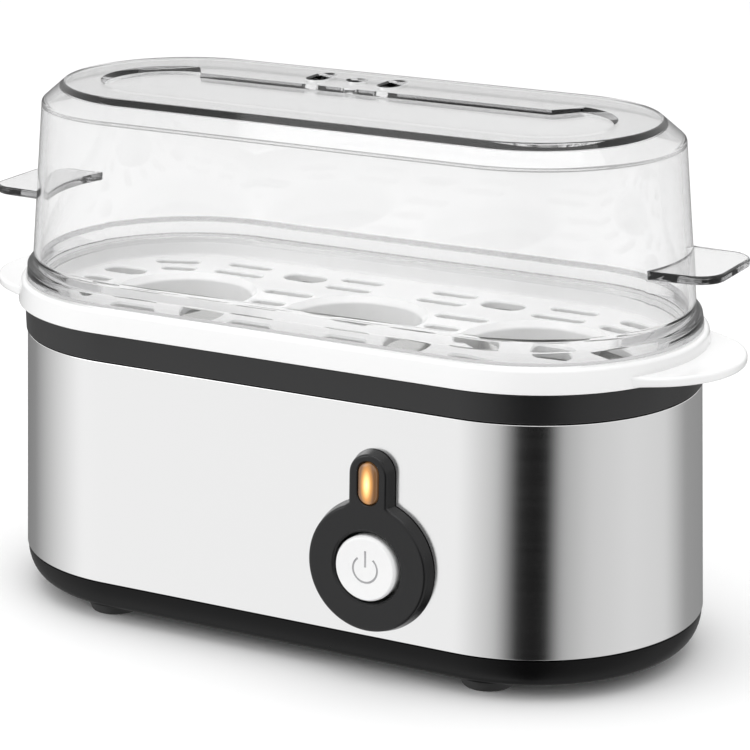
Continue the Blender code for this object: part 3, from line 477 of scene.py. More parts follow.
# %% Smoke of the clear plastic
LID_DENSITY = 70.0
lid_tree = finishes["clear_plastic"].node_tree
smoke = lid_tree.nodes.new("ShaderNodeVolumeAbsorption")
smoke.inputs["Color"].default_value = (0.5, 0.5, 0.505, 1.0)
smoke.inputs["Density"].default_value = LID_DENSITY
wire(lid_tree, smoke.outputs["Volume"], lid_tree.nodes["Material Output"].inputs["Volume"])
print("light kept by 4 mm of lid:", round(math.exp(-0.5 * LID_DENSITY * 0.004), 3))

# %% [markdown]
# The lens carries painted light: it glows, brightest along its middle where the lamp stands behind it, and
# turns a deeper amber towards its edge. A Mapping node centres the pattern on the lens and squeezes it to the
# lens's own shape, and a ramp turns the distance from the middle into colour, which sets both the emission
# and the base colour.


# %% The glowing lens
def lens_painted_glow():
    low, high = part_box("indicator_lens")
    middle, size = (low + high) / 2, high - low
    made = finish("amber_lens", (0.9, 0.45, 0.1), 0.12, 0.05, bump=0.000005, Coat_Weight=0.5)
    tree = made.node_tree
    shader = tree.nodes["Principled BSDF"]
    place, centre = tree.nodes.new("ShaderNodeTexCoord"), tree.nodes.new("ShaderNodeMapping")
    scale = Vector((2.6 / size.x, 0.0, 1.7 / size.z))
    centre.inputs["Scale"].default_value = scale
    centre.inputs["Location"].default_value = [-middle[i] * scale[i] for i in range(3)]
    distance = tree.nodes.new("ShaderNodeVectorMath")
    distance.operation = "LENGTH"
    ramp = tree.nodes.new("ShaderNodeValToRGB")
    glow_stops = (
        (0.0, (1.0, 0.76, 0.42)), (0.28, (0.95, 0.6, 0.22)),
        (0.6, (0.5, 0.22, 0.05)), (0.95, (0.14, 0.07, 0.03)),
    )
    while len(ramp.color_ramp.elements) < len(glow_stops):
        ramp.color_ramp.elements.new(0.5)
    for element, (position, colour) in zip(ramp.color_ramp.elements, glow_stops):
        element.position = position
        element.color = (*colour, 1.0)
    wire(tree, place.outputs["Object"], centre.inputs["Vector"])
    wire(tree, centre.outputs["Vector"], distance.inputs[0])
    wire(tree, distance.outputs["Value"], ramp.inputs["Fac"])
    # Painted light: the same glow ramp feeds the emission and the base colour, so the lens is bright in its
    # middle and dark at its edge.
    wire(tree, ramp.outputs["Color"], shader.inputs["Emission Color"])
    wire(tree, ramp.outputs["Color"], shader.inputs["Base Color"])
    shader.inputs["Emission Strength"].default_value = 0.6
    return made


finishes["amber"] = lens_painted_glow()
print("lens finish made")

# %% [markdown]
# The CAD nodes that stay in view keep their own meshes, but each takes its slot's finish.

# %% Finishes on the CAD nodes
for node, obj in frame["nodes"].items():
    if not obj.material_slots:
        obj.data.materials.append(None)
    for material_slot in obj.material_slots:
        material_slot.material = finishes[slot_of[node]]
print("finished", len(frame["nodes"]), "nodes")

# %% [markdown]
# ## The steel band
#
# The body is one sheet of stainless steel bent round the oval, slightly wider at its foot. Bending leaves the
# sheet 0.8 mm thick with a softly rounded cut edge, so the profile is a thin sloping strip. Three holes go
# through it, for the control panel, for the lens and for the cord gland.

# %% Steel band
STEEL_WALL = 0.8
steel_low, steel_high = sleeve_low.z / MM, sleeve_high.z / MM
foot_radius = sleeve_high.y / MM
top_radius = foot_radius - 1.9
WALL_TILT = math.atan((foot_radius - top_radius) / (steel_high - steel_low))
WALL_EDGE = 0.3
button_low, button_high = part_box("power_button")
gland_low, gland_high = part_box("cord_gland")
PANEL_X = (button_low.x + button_high.x) / 2 / MM
PANEL_Z = (button_low.z + button_high.z) / 2 / MM
PANEL_Y = -(foot_radius - (PANEL_Z - steel_low) * math.tan(WALL_TILT))
GLAND_X = (gland_low.x + gland_high.x) / 2 / MM
GLAND_Z = (gland_low.z + gland_high.z) / 2 / MM
GLAND_RADIUS = 5.5
HUB_RADIUS = 13.0
LENS_Z = 21.2
inward = np.array([0.0, math.cos(WALL_TILT), -math.sin(WALL_TILT)])
upward = np.array([0.0, math.sin(WALL_TILT), math.cos(WALL_TILT)])


def on_panel(outline, depth):
    """Points of the panel's own plane, X across and Z up the wall, at a depth into the body."""
    flat = np.asarray(outline, float)
    corner = np.array([PANEL_X, PANEL_Y, PANEL_Z])
    return corner + flat[:, :1] * np.array([1.0, 0, 0]) + flat[:, 1:] * upward + depth * inward


def steel_band():
    """A thin sloping strip carried round the oval, less the holes for panel, lens and gland."""
    strip = fillet([
        (foot_radius, steel_low, WALL_EDGE), (top_radius, steel_high, WALL_EDGE),
        (top_radius - STEEL_WALL, steel_high, WALL_EDGE), (foot_radius - STEEL_WALL, steel_low, WALL_EDGE),
    ], closed=True)
    band = oval_sweep("steel_band", strip, closed=True)
    hub = arc((0, 0), HUB_RADIUS + 0.3, 0, 354, 59)
    combine(band, stack("hub_hole", [on_panel(hub, depth) for depth in (-6, 6)]), "DIFFERENCE")
    slot = obround((0, LENS_Z), 11.2, 6.0, 90)
    combine(band, stack("lens_hole", [on_panel(slot, depth) for depth in (-6, 6)]), "DIFFERENCE")
    bar = np.array([(0, 30.0), (GLAND_RADIUS + 0.4, 30.0), (GLAND_RADIUS + 0.4, 50.0), (0, 50.0)])
    combine(band, turned("gland_hole", bar, (GLAND_X, 0, GLAND_Z), (0, 1, 0)), "DIFFERENCE")
    return hand_over(band, "steel_sleeve")


steel_band()

# %% [markdown]
# ## The base
#
# The base is a shallow moulded pan. Seen from the side its edge is a quarter of an ellipse, which rolls the
# body down to its feet, so that curve is written as a formula. A lip inside stands up behind the steel.
# Underneath there are a shallow blank panel for a rating label, four counterbored screw holes, and the holes
# for the feet's pegs.

# %% Base pan
base_low, base_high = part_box("base_shell")
foot_low, foot_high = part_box("foot_front_right")
screw_low, screw_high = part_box("base_screw_right_rear")
FOOT_X, FOOT_Y = (foot_low.x + foot_high.x) / 2 / MM, -(foot_low.y + foot_high.y) / 2 / MM
SCREW_X, SCREW_Y = (screw_low.x + screw_high.x) / 2 / MM, (screw_low.y + screw_high.y) / 2 / MM
SIDES = [(sx, sy) for sx in (-1, 1) for sy in (-1, 1)]


def base_pan():
    """Outer edge: across = outer - 5 + 5 sin t, height = floor + 7.9 (1 - cos t), t up to 90 degrees."""
    outer, floor = base_high.y / MM, base_low.z / MM
    t = np.linspace(0, math.pi / 2, 20)
    roll = np.stack([outer - 5.0 + 5.0 * np.sin(t), floor + 7.9 * (1 - np.cos(t))], axis=-1)
    inside = fillet([
        (outer, floor + 7.9, 0), (outer - 1.3, floor + 7.9, 0.2), (outer - 1.4, floor + 13.7, 0.5),
        (outer - 3.1, floor + 13.7, 0.5), (outer - 3.6, floor + 5.1, 2.0), (outer - 5.2, floor + 2.3, 1.5),
        (outer - 9.0, floor + 2.3, 0),
    ])
    pan = oval_sweep("base_pan", np.concatenate([roll, inside[1:]]))
    for sx, sy in SIDES:
        boss = fillet([(0, 4.6, 0), (5.0, 4.6, 0), (5.0, 12.4, 0.5), (0, 12.4, 0)])
        combine(pan, turned("boss", boss, (sx * SCREW_X, sy * SCREW_Y, 0), UP, 40), "UNION")
    for sx, sy in SIDES:
        bore = np.array([
            (0, 2), (3.9, 2), (3.9, 2.9), (3.4, 3.5), (3.4, 9.5), (1.8, 9.5), (1.8, 14), (0, 14),
        ])
        combine(pan, turned("bore", bore, (sx * SCREW_X, sy * SCREW_Y, 0), UP, 40), "DIFFERENCE")
        peg = np.array([(0, 2), (2.3, 2), (2.3, 7), (0, 7)])
        combine(pan, turned("peg_hole", peg, (sx * FOOT_X, sy * FOOT_Y, 0), UP, 32), "DIFFERENCE")
    label = stepped("label", obround((0, 0), 70.0, 34.0), ((2.0, -0.5), (3.7, 0.4)))
    combine(pan, label, "DIFFERENCE")
    made = hand_over(pan, "base_shell")
    # Painted shade: the base takes the darker, less glossy copy of the black plastic instead of the slot's
    # own finish.
    made.data.materials[0] = shaded_base_black
    return made


base_pan()

# %% [markdown]
# ## Feet and screws
#
# The rubber feet are turned shapes with three fine grip rings underneath. The screws that hold the cooker
# together sit deep in their counterbores, and a cross recess is cut into each head.


# %% Feet and base screws
def rubber_foot(node, x, y):
    """A turned foot and its peg. Two grooves underneath leave three grip rings."""
    rings = [(2.2, 0.0, 0), (2.2, 0.35, 0), (2.8, 0.35, 0), (2.8, 0.0, 0)]
    rings += [(3.9, 0.0, 0), (3.9, 0.35, 0), (4.5, 0.35, 0), (4.5, 0.0, 0)]
    side = [(6.3, 0, 0.6), (7.4, 2.8, 0.3), (2.0, 2.8, 0.2), (2.0, 6.6, 0.4), (1.4, 7.2, 0.2), (0, 7.2, 0)]
    profile = fillet([(0, 0, 0), *rings, *side], steps=4)
    return hand_over(turned(f"rubber_{node}", profile, (x, y, 0), UP, 56), node)


def pan_screw(node, x, y):
    """A turned screw with a tapered cross cut into its head."""
    head = [
        (0, 7.2, 0), (2.6, 7.2, 0.9), (3.1, 8.3, 0.4), (3.1, 9.2, 0.1),
        (1.5, 9.2, 0), (1.5, 27.5, 0), (0, 29, 0),
    ]
    screw = turned(f"pan_{node}", fillet(head, steps=6), (x, y, 0), UP, 40)
    for long_x, long_y in ((1.7, 0.4), (0.4, 1.7)):
        arm = np.array([(x - long_x, y - long_y), (x + long_x, y - long_y), (x + long_x, y + long_y),
                        (x - long_x, y + long_y)])
        centre = np.array([x, y])
        layers = [at_height(centre + (arm - centre) * size, z) for z, size in ((7.0, 1.0), (8.7, 0.55))]
        combine(screw, stack("cross", layers), "DIFFERENCE")
    return hand_over(screw, node)


for label_y, sy in (("front", -1), ("rear", 1)):
    for label_x, sx in (("left", -1), ("right", 1)):
        rubber_foot(f"foot_{label_y}_{label_x}", sx * FOOT_X, sy * FOOT_Y)
        pan_screw(f"base_screw_{label_x}_{label_y}", sx * SCREW_X, sy * SCREW_Y)

# %% [markdown]
# ## The top ring
#
# The dark band above the steel is one moulding with the rail that carries the tray and the shelf that carries
# the water dish. Only its outer band shows while the tray is on. Its four posts run down to the base.

# %% Top ring
ring_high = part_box("top_ring")[1]


def top_ring():
    """A stepped profile carried round the oval, with a turned post at each screw."""
    band, top = ring_high.y / MM, ring_high.z / MM
    profile = fillet([
        (band - 0.1, top - 11.4, 0.35), (band, top - 4.5, 0.35), (band - 0.5, top - 4.0, 0.2),
        (band - 0.7, top, 0.4), (band - 2.0, top, 0.4), (band - 2.0, top - 7.7, 0.3),
        (band - 6.1, top - 7.7, 0.3), (band - 6.1, top - 9.9, 0.3), (band - 3.4, top - 9.9, 0.4),
        (band - 3.4, top - 21.3, 0.3), (band - 1.6, top - 21.3, 0.3), (band - 1.6, top - 11.4, 0.2),
    ], steps=4, closed=True)
    ring = oval_sweep("collar_ring", profile, closed=True)
    post = fillet([
        (0, 31, 0), (1.8, 31, 0), (1.8, 12.7, 0), (4.5, 12.7, 0.4), (4.5, 63.4, 0.5), (0, 63.4, 0),
    ])
    for sx, sy in SIDES:
        combine(ring, turned("post", post, (sx * SCREW_X, sy * SCREW_Y, 0), UP, 32), "UNION")
    return hand_over(ring, "top_ring")


top_ring()

# %% [markdown]
# ## The water dish
#
# The dish is pressed from thin stainless sheet. Its floor, wall and flange run into each other by generous
# radii, as the press needs them, and the sheet keeps its thickness all along.

# %% Water dish
def water_pan():
    """One sheet's profile carried round the oval, with two studs under its floor."""
    outer, flange = 39.5, 76.2
    inner = [(24.0, 65.2, 0), (31.4, 65.2, 2.4), (34.9, flange, 0.7), (outer, flange, 0.2)]
    under = [(outer, flange - 0.8, 0.2), (35.5, flange - 0.8, 0.5), (32.2, 64.4, 2.8), (24.0, 64.4, 0)]
    pan = oval_sweep("water_pan", fillet(inner + under, steps=8))
    stud = np.array([(0, 64.8), (2.0, 64.8), (2.0, 52.6), (1.6, 52.0), (0, 52.0)])
    stud_low, stud_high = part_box("clamp_nut_right")
    for side in (-1, 1):
        place = (side * (stud_low.x + stud_high.x) / 2 / MM, 0, 0)
        combine(pan, turned("stud", stud, place, UP, 24), "UNION")
    return hand_over(pan, "water_dish")


water_pan()

# %% [markdown]
# ## The egg tray
#
# The tray is injection moulded: a rim that hooks over the ring, a floor, and two flat side handles. The holes
# for the eggs are bevelled so that an egg sits without cracking, and the long slots let steam rise. Each slot
# is cut by a shape that opens slightly at the top, which leaves the thin bright edge of a real moulding.

# %% Tray handles and slots
tray_low, tray_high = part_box("egg_tray")
FLOOR_TOP = tray_high.z / MM - 5.0
SEAT_RADIUS = 17.4
SEAT_WALL = 1.5
SEAT_FOOT = tray_low.z / MM
HANDLE_RADIUS = 24.5
HANDLE_CENTRE = tray_high.x / MM - HANDLE_RADIUS


def handle_line(side, root, half_width, outer):
    """Plan of a side handle: its inner edge follows the half turn, its outer edge is given."""
    spread = math.degrees(math.asin(half_width / root))
    line = np.concatenate([arc((STRAIGHT, 0), root, spread, -spread, 24), outer])
    return line if side > 0 else (line * [-1, 1])[::-1]


def soft_plate(name, line, root, low, high, radius):
    """A plate with rounded edges: towards a face the outline draws in by radius * (1 - cos a).

    Within a few millimetres of the root, which is inside the housing's wall, the edge stays square.
    """
    out = np.hypot(np.abs(line[:, 0]) - STRAIGHT, line[:, 1]) - root
    share = np.clip((out - 0.5) / 3.0, 0.0, 1.0)[:, None]
    layers = []
    for t in np.radians(np.linspace(0, 90, 6)):
        edge = line + share * (drawn_in(line, radius * (1 - math.cos(t))) - line)
        layers.insert(0, at_height(edge, low + radius * (1 - math.sin(t))))
        layers.append(at_height(edge, high - radius * (1 - math.sin(t))))
    return stack(name, layers)


def steam_slots():
    """(x, y, length, width, turn) of each slot in the tray's floor.

    One quarter's slots are listed, and mirrored into the other three. Two more lie on the X axis.
    """
    middle = STRAIGHT / 2
    quarter = [
        (13.5, 21.6, 13.0, 3.6, 0), (13.5, 29.6, 12.0, 3.6, 0), (29.0, 26.0, 12.0, 7.0, 0),
        (46.8, 21.6, 14.5, 3.6, 0), (47.8, 29.6, 13.0, 3.6, 0), (64.0, 19.0, 9.5, 4.0, -16),
        (68.0, 25.0, 12.0, 4.0, -20), (75.5, 10.5, 12.0, 6.0, 0), (middle, 10.4, 14.0, 4.0, 0),
    ]
    slots = []
    for side in (-1, 1):
        slots += [(side * middle, 0, 9.5, 4.0, 0), (side * 78.0, 0, 9.0, 4.0, 0)]
        for x, y, length, width, turn in quarter:
            slots += [(side * x, end * y, length, width, side * end * turn) for end in (-1, 1)]
    return slots


print(len(steam_slots()), "steam slots")


# %% Egg tray
def egg_tray():
    """Rim and floor carried round the oval, with handles, three seats and the steam slots."""
    top = tray_high.z / MM
    rim = fillet([
        (30.0, FLOOR_TOP, 0), (37.3, FLOOR_TOP, 0.9), (38.3, top, 0.6), (42.7, top, 1.1),
        (43.25, top - 3.2, 0), (43.6, top - 6.0, 0.25), (42.1, top - 6.0, 0.25),
        (41.8, top - 1.8, 0.3), (39.5, top - 1.8, 0.3), (38.9, top - 6.2, 0.5),
        (37.9, top - 7.0, 0.6), (30.0, top - 7.0, 0),
    ])
    tray = oval_sweep("white_tray", rim)
    start = math.degrees(math.atan2(24.0, STRAIGHT + 36.2 - HANDLE_CENTRE))
    outer = arc((HANDLE_CENTRE, 0), HANDLE_RADIUS, -start, start, 40)
    for side in (-1, 1):
        line = handle_line(side, 42.8, 24.0, outer)
        combine(tray, soft_plate("handle", line, 42.8, top - 5.6, top - 3.2, 0.8), "UNION")
    outside, middle = SEAT_RADIUS + SEAT_WALL, FLOOR_TOP - 1.0
    cup = fillet([
        (outside, middle, 0), (outside - 0.3, SEAT_FOOT, 0.5), (SEAT_RADIUS - 2, SEAT_FOOT, 0),
        (SEAT_RADIUS - 2, middle, 0),
    ], closed=True)
    hole = fillet([
        (0, SEAT_FOOT - 1, 0), (SEAT_RADIUS - 0.3, SEAT_FOOT - 1, 0), (SEAT_RADIUS, FLOOR_TOP - 1.6, 1.0),
        (outside + 0.4, FLOOR_TOP + 0.3, 0), (0, FLOOR_TOP + 0.3, 0),
    ])
    for x in (-STRAIGHT, 0, STRAIGHT):
        combine(tray, turned("cup", cup, (x, 0, 0), UP, 72, closed=True), "UNION")
        combine(tray, turned("hole", hole, (x, 0, 0), UP, 72), "DIFFERENCE")
    for x, y, length, width, turn in steam_slots():
        line = obround((x, y), length, width, turn, 8)
        levels = ((FLOOR_TOP - 3.0, 0.0), (FLOOR_TOP - 0.4, 0.0), (FLOOR_TOP + 0.2, -0.5))
        combine(tray, stepped("slot", line, levels), "DIFFERENCE")
    return hand_over(tray, "egg_tray")


egg_tray()

# %% [markdown]
# ## The lid
#
# The lid is moulded in clear plastic about two millimetres thick. Its two walls both matter, because light
# bends at each of them: the dark lines along the edges of a clear lid are where it turns through the
# thickness. The top has a bevelled shoulder and a shallow sunk panel, with a ledge at the back for the vents.
#
# A shadow ray can't bend through clear plastic, so the lid would shade the tray as a solid does. It is set to
# cast no shadow.

# %% Lid
lid_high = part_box("lid")[1]


def lid_shell():
    """The lid's outside and inside walls as one profile carried round the oval."""
    top = lid_high.z / MM
    outside = [
        (24.0, top, 0), (30.3, top, 1.0), (36.0, top - 4.9, 1.1), (39.45, top - 45.4, 1.0),
        (41.0, top - 47.4, 1.2), (41.6, top - 50.7, 0.3),
    ]
    inside = [
        (37.8, top - 50.7, 0.3), (37.4, top - 52.2, 0.3), (36.2, top - 52.2, 0.3), (37.7, top - 45.0, 1.5),
        (34.3, top - 5.9, 1.2), (30.0, top - 2.6, 1.0), (24.0, top - 2.6, 0),
    ]
    return oval_sweep("clear_cover", fillet(outside + inside, steps=8))


def lid_recess():
    """The sunk panel: an oval tool with sloping sides, less the ledge at the back."""
    top = lid_high.z / MM
    line = oval_line(17.5, 53.0, 40) + [0, -1.8]
    levels = ((top - 1.2, 0.9), (top + 0.3, -0.4))
    tool = stepped("recess", line, levels)
    ledge = np.array([(-50.0, 8.4), (50.0, 8.4), (57.0, 18.0), (-57.0, 18.0)])
    levels = ((top - 3, -0.8), (top + 3, 1.2))
    combine(tool, stepped("ledge", ledge, levels), "DIFFERENCE")
    return tool


def lid_cover():
    """The shell less its sunk panel and three vents, with a grip at each end."""
    top = lid_high.z / MM
    cover = lid_shell()
    combine(cover, lid_recess(), "DIFFERENCE")
    vents = [obround((-10.0 + side * 10.3, 19.3), 10.0, 5.0, 90) for side in (-1, 1)]
    vents.append(arc((-10.0, 19.3), 2.5, 0, 350, 35))
    levels = ((top - 5, 0.0), (top - 0.5, 0.0), (top + 0.3, -0.6))
    for vent in vents:
        combine(cover, stepped("vent", vent, levels), "DIFFERENCE")
    reach, half, corner = lid_high.x / MM, 14.0, 7.0
    outer = np.concatenate([arc((reach - corner, corner - half), corner, -90, 0, 12),
                            arc((reach - corner, half - corner), corner, 0, 90, 12)])
    for side in (-1, 1):
        line = handle_line(side, 37.6, half, outer)
        combine(cover, soft_plate("grip", line, 37.6, top - 32.9, top - 30.8, 0.7), "UNION")
    made = hand_over(cover, "lid")
    made.visible_shadow = False
    return made


lid_cover()

# %% [markdown]
# ## The control panel
#
# The black surround is a disc with a round-topped neck. Its side leans in from the steel to a rounded front
# edge. It is skinned from one outline drawn in step by step. The button stands in a round hole and the lens
# in a slot, each with a fine bevel round it.

# %% Panel surround
BEZEL_RADIUS, BEZEL_PROUD = 16.8, 3.4
NECK_HALF, NECK_TOP = 5.9, 29.1
BUTTON_HOLE = 9.0


def keyhole():
    """The surround's outline: a large arc that stops where the neck begins, and a half circle above."""
    spread = math.degrees(math.asin(NECK_HALF / BEZEL_RADIUS))
    disc = arc((0, 0), BEZEL_RADIUS, 90 + spread, 450 - spread, 90)
    return np.concatenate([disc, arc((0, NECK_TOP - NECK_HALF), NECK_HALF, 0, 180, 24)])


def panel_surround():
    """Side leaning in by `lean`, then a quarter round: inset = lean + edge * (1 - cos t)."""
    edge, lean = 0.9, 0.6
    line = keyhole()
    layers = [on_panel(line, -0.3)]
    for t in np.radians(np.linspace(0, 90, 8)):
        inset, depth = lean + edge * (1 - math.cos(t)), edge - BEZEL_PROUD - edge * math.sin(t)
        layers.append(on_panel(drawn_in(line, inset), depth))
    surround = stack("panel_surround", layers)
    middle = on_panel([(0, 0)], 0)[0]
    hub = np.array([(0, -1.0), (HUB_RADIUS, -1.0), (HUB_RADIUS, 7.5), (0, 7.5)])
    combine(surround, turned("hub", hub, middle, inward, 72), "UNION")
    hole = np.array([
        (0, -8.0), (BUTTON_HOLE + 0.6, -8.0), (BUTTON_HOLE + 0.6, -BEZEL_PROUD),
        (BUTTON_HOLE, 0.5 - BEZEL_PROUD), (BUTTON_HOLE, 10.0), (0, 10.0),
    ])
    combine(surround, turned("button_hole", hole, middle, inward, 96), "DIFFERENCE")
    slot = obround((0, LENS_Z), 11.0, 5.8, 90, 16)
    levels = ((-8.0, -0.3), (-BEZEL_PROUD, -0.25), (0.25 - BEZEL_PROUD, 0.0), (2.0, 0.0))
    combine(surround, stack("lens_slot", [on_panel(drawn_in(slot, d), y) for y, d in levels]), "DIFFERENCE")
    return hand_over(surround, "control_bezel")


panel_surround()

# %% [markdown]
# ## Button and lens
#
# The button is a white cap, very slightly dished for the finger. Its power symbol is the generic line and
# broken circle, cut as a fine groove with grey lacquer in it. The lens is a domed capsule.

# %% Button, symbol and lens
SYMBOL_RADIUS, SYMBOL_GAP, SYMBOL_HALF = 3.3, 38.0, 0.26
BUTTON_PROUD, BUTTON_INNER = 1.0, -2.6
SKIRT_INNER_RADIUS, STEM_RADIUS, STEM_END = 7.1, 2.2, 5.6


def ribbon(name, path, half, front, back):
    """A square strip along a path in the panel's plane: path +- half * normal, at two depths."""
    along = np.gradient(path, axis=0)
    along /= np.linalg.norm(along, axis=1)[:, None]
    normal = np.stack([along[:, 1], -along[:, 0]], axis=-1) * half
    corners = [on_panel(path + normal, front), on_panel(path + normal, back),
               on_panel(path - normal, back), on_panel(path - normal, front)]
    return stack(name, np.stack(corners, axis=1))


def symbol_paths():
    """Paths of the generic power symbol: a broken circle and an upright line."""
    circle = arc((0, -0.2), SYMBOL_RADIUS, 90 + SYMBOL_GAP, 450 - SYMBOL_GAP, 48)
    return {"circle": circle, "line": np.array([(0, 0.3), (0, 2.4), (0, 4.5)])}


def button_cap():
    """Turned cap: its face is dished by 0.5 - 0.42 (r / R) squared, and a skirt and stem stand behind."""
    front, radius = -BEZEL_PROUD - BUTTON_PROUD, (button_high.x - button_low.x) / 2 / MM
    r = np.linspace(0, radius - 1.1, 14)
    dish = np.stack([r, front + 0.5 - 0.42 * (r / r[-1]) ** 2], axis=-1)
    edge = fillet([
        (radius - 1.1, front + 0.08, 0), (radius - 0.5, front, 0.5), (radius, front + 0.8, 0.6),
        (radius, 3.0, 0.2), (SKIRT_INNER_RADIUS, 3.0, 0.2), (SKIRT_INNER_RADIUS, BUTTON_INNER, 0),
        (STEM_RADIUS, BUTTON_INNER, 0), (STEM_RADIUS, STEM_END, 0), (0, STEM_END, 0),
    ])
    cap = turned("button_cap", np.concatenate([dish, edge[1:]]), on_panel([(0, 0)], 0)[0], inward, 96)
    for name, path in symbol_paths().items():
        combine(cap, ribbon(name, path, SYMBOL_HALF, front - 1, front + 0.75), "DIFFERENCE")
    hand_over(cap, "power_button")
    for name, path in symbol_paths().items():
        inlay = ribbon(f"power_symbol_{name}", path, SYMBOL_HALF - 0.02, front + 0.62, front + 0.74)
        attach(inlay, body_of["power_button"])
        inlay.data.materials.append(grey_lacquer)


def lens_cap():
    """The slot outline drawn in by 2 (1 - cos t) while it rises by 0.8 sin t, t up to 84 degrees."""
    line, brow = obround((0, LENS_Z), 10.4, 5.2, 90, 20), 0.3 - BEZEL_PROUD
    layers = [on_panel(line, 3.0)]
    for t in np.radians(np.linspace(0, 84, 10)):
        layers.append(on_panel(drawn_in(line, 2.0 * (1 - math.cos(t))), brow - 0.8 * math.sin(t)))
    return hand_over(stack("lens_cap", layers), "indicator_lens")


button_cap()
lens_cap()

# %% [markdown]
# The return spring is a round wire wound into a coil behind the cap. It shortens as the button goes in, while
# its far end stays against the bracket.

# %% Return spring
SPRING_TURNS, SPRING_RADIUS, SPRING_WIRE = 4, 4.4, 0.4
SPRING_HEAD, SPRING_FOOT, STROKE = BUTTON_INNER + 0.4, 7.4, 2.5


def return_spring():
    """Wire along a helix: distance from the axis = R + w cos b, depth = helix + w sin b, b round the wire."""
    turn = np.linspace(0, 2 * math.pi * SPRING_TURNS, 36 * SPRING_TURNS + 1)[:, None]
    around = np.linspace(0, 2 * math.pi, 12, endpoint=False)
    reach = SPRING_RADIUS + SPRING_WIRE * np.cos(around)
    helix = np.linspace(SPRING_HEAD + SPRING_WIRE, SPRING_FOOT - SPRING_WIRE, len(turn))[:, None]
    depth = helix + SPRING_WIRE * np.sin(around)
    flat = np.stack([(np.cos(turn) * reach).ravel(), (np.sin(turn) * reach).ravel()], axis=-1)
    points = on_panel(flat, depth.reshape(-1, 1)).reshape(len(turn), len(around), 3)
    spring = hand_over(stack("return_spring", points), "button_spring")
    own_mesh(spring)


return_spring()

# %% [markdown]
# ## The cord gland
#
# At the back the gland closes round the mains lead. It is a turned black moulding with a flange against the
# steel and a grip groove on its nose. No lead is modelled here, so its bore stays open.

# %% Cord gland
def rear_gland():
    """A turned gland with a flange, a grooved nose and an open bore."""
    wall = foot_radius - (GLAND_Z - steel_low) * math.tan(WALL_TILT)
    nose = gland_high.y / MM
    profile = fillet([
        (3.4, 35.0, 0.3), (GLAND_RADIUS, 35.0, 0.4), (GLAND_RADIUS, wall + 0.6, 0), (8.1, wall + 0.6, 0.3),
        (8.1, wall + 2.2, 0.6), (6.5, wall + 2.6, 0.3), (6.1, nose - 2.6, 0.1), (5.6, nose - 2.4, 0.1),
        (5.6, nose - 1.9, 0.1), (5.9, nose - 1.7, 0.1), (5.5, nose, 0.6), (3.4, nose, 0.6),
    ], closed=True)
    gland = turned("rear_gland", profile, (GLAND_X, 0, GLAND_Z), (0, 1, 0), 64, closed=True)
    return hand_over(gland, "cord_gland")


rear_gland()

# %% [markdown]
# ## Floor
#
# The stage is a plain pale floor. Mirrors make the floor hard work: a steel wall seen from slightly above
# shows nothing but floor. So the floor is left out of reflections here, and metal sees the studio's walls
# instead, which run on below the horizon.


# %% Floor
FLOOR_HALF = 3.0


def floor_sheet():
    corners = [(x * FLOOR_HALF, y * FLOOR_HALF, 0) for x, y in ((-1, -1), (1, -1), (1, 1), (-1, 1))]
    mesh = bpy.data.meshes.new("floor")
    mesh.from_pydata(corners, [], [(0, 1, 2, 3)])
    mesh.materials.append(finish("pale_floor", (0.9, 0.9, 0.9), 0.8, 0.05))
    sheet = bpy.data.objects.new("floor", mesh)
    bpy.context.scene.collection.objects.link(sheet)
    sheet.visible_glossy = False
    return sheet


floor_sheet()
print("floor", 2 * FLOOR_HALF, "m wide")

# %% [markdown]
# ## Studio walls
#
# Polished steel is usually lit with white paper all round, and one dark gap where the camera looks through.
# The rounded end of the steel mirrors that gap as a black band with soft edges, which tells the eye that the
# surface is metal and that it turns. The walls here are the world itself: its brightness follows the compass
# direction of a ray, by a ramp with the gap at the camera's side and a greyer stretch behind. High up it
# blends into a plain white ceiling.

# %% Studio walls
WALLS = (
    # (degrees to the right of straight ahead of the front face, brightness)
    (-180, 0.30), (-145, 0.20), (-108, 0.28), (-75, 0.70), (-50, 1.0), (-25, 0.98), (2, 0.58), (16, 0.01),
    (36, 0.0), (46, 0.46), (65, 0.66), (95, 0.76), (125, 0.72), (150, 0.34), (180, 0.30),
)
WALL_STRENGTH = 1.0


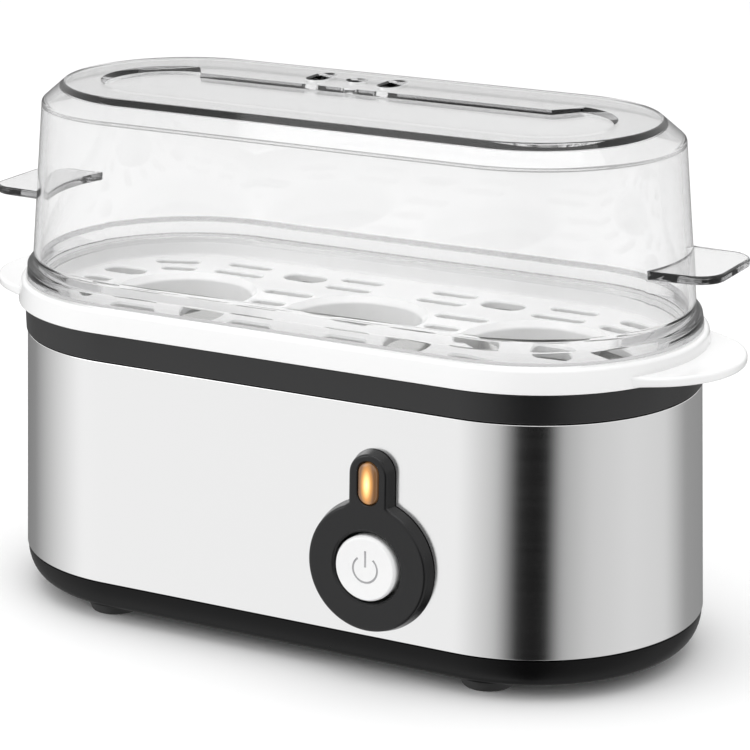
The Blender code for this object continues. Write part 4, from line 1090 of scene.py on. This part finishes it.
def studio():
    """Compass angle = atan2(x, -y) of the ray, scaled from -180..180 degrees to the ramp's 0..1."""
    world = bpy.data.worlds.new("studio")
    world.use_nodes = True
    tree = world.node_tree
    ray, parts = tree.nodes.new("ShaderNodeTexCoord"), tree.nodes.new("ShaderNodeSeparateXYZ")
    wire(tree, ray.outputs["Generated"], parts.inputs[0])
    back = math_node(tree, "MULTIPLY", parts.outputs["Y"], -1.0)
    compass = math_node(tree, "ARCTAN2", parts.outputs["X"], back)
    place = math_node(tree, "MULTIPLY_ADD", compass, 0.5 / math.pi, 0.5)
    ramp = tree.nodes.new("ShaderNodeValToRGB")
    while len(ramp.color_ramp.elements) < len(WALLS):
        ramp.color_ramp.elements.new(1.0)
    for element, (degrees, light) in zip(ramp.color_ramp.elements, WALLS):
        element.position = degrees / 360 + 0.5
        element.color = (light, light, light, 1.0)
    wire(tree, place, ramp.inputs["Fac"])
    high = tree.nodes.new("ShaderNodeMapRange")
    high.interpolation_type = "SMOOTHSTEP"
    high.inputs["From Min"].default_value = -0.1
    high.inputs["From Max"].default_value = 0.4
    wire(tree, parts.outputs["Z"], high.inputs["Value"])
    ceiling = tree.nodes.new("ShaderNodeMix")
    ceiling.data_type = "RGBA"
    ceiling.inputs["B"].default_value = (1.0, 1.0, 1.0, 1.0)
    wire(tree, high.outputs["Result"], ceiling.inputs["Factor"])
    wire(tree, ramp.outputs["Color"], ceiling.inputs["A"])
    wire(tree, ceiling.outputs["Result"], tree.nodes["Background"].inputs["Color"])
    tree.nodes["Background"].inputs["Strength"].default_value = WALL_STRENGTH
    return world


bpy.context.scene.world = studio()
bpy.context.scene.view_settings.view_transform = "Standard"
print("studio with", len(WALLS), "wall stops")

# %% [markdown]
# ## Lamps
#
# Two large soft lamps add shape: one overhead lights the floor and the lid's top, and one from the left front
# gives the white tray and the button their shading.


# %% Lamps
def lamp(name, place, aim, size, power):
    data = bpy.data.lights.new(name, "AREA")
    data.shape = "RECTANGLE"
    data.size, data.size_y = size
    data.energy = power
    made = bpy.data.objects.new(name, data)
    made.location = place
    made.rotation_euler = (Vector(aim) - Vector(place)).to_track_quat("-Z", "Y").to_euler()
    bpy.context.scene.collection.objects.link(made)
    return made


lamp("overhead", (0.0, -0.1, 1.3), (0, 0, 0), (1.4, 1.0), 6.0)
lamp("left_front", (-1.1, -1.1, 0.8), (0, 0, 0.05), (0.9, 0.9), 4.0)
print("two lamps")
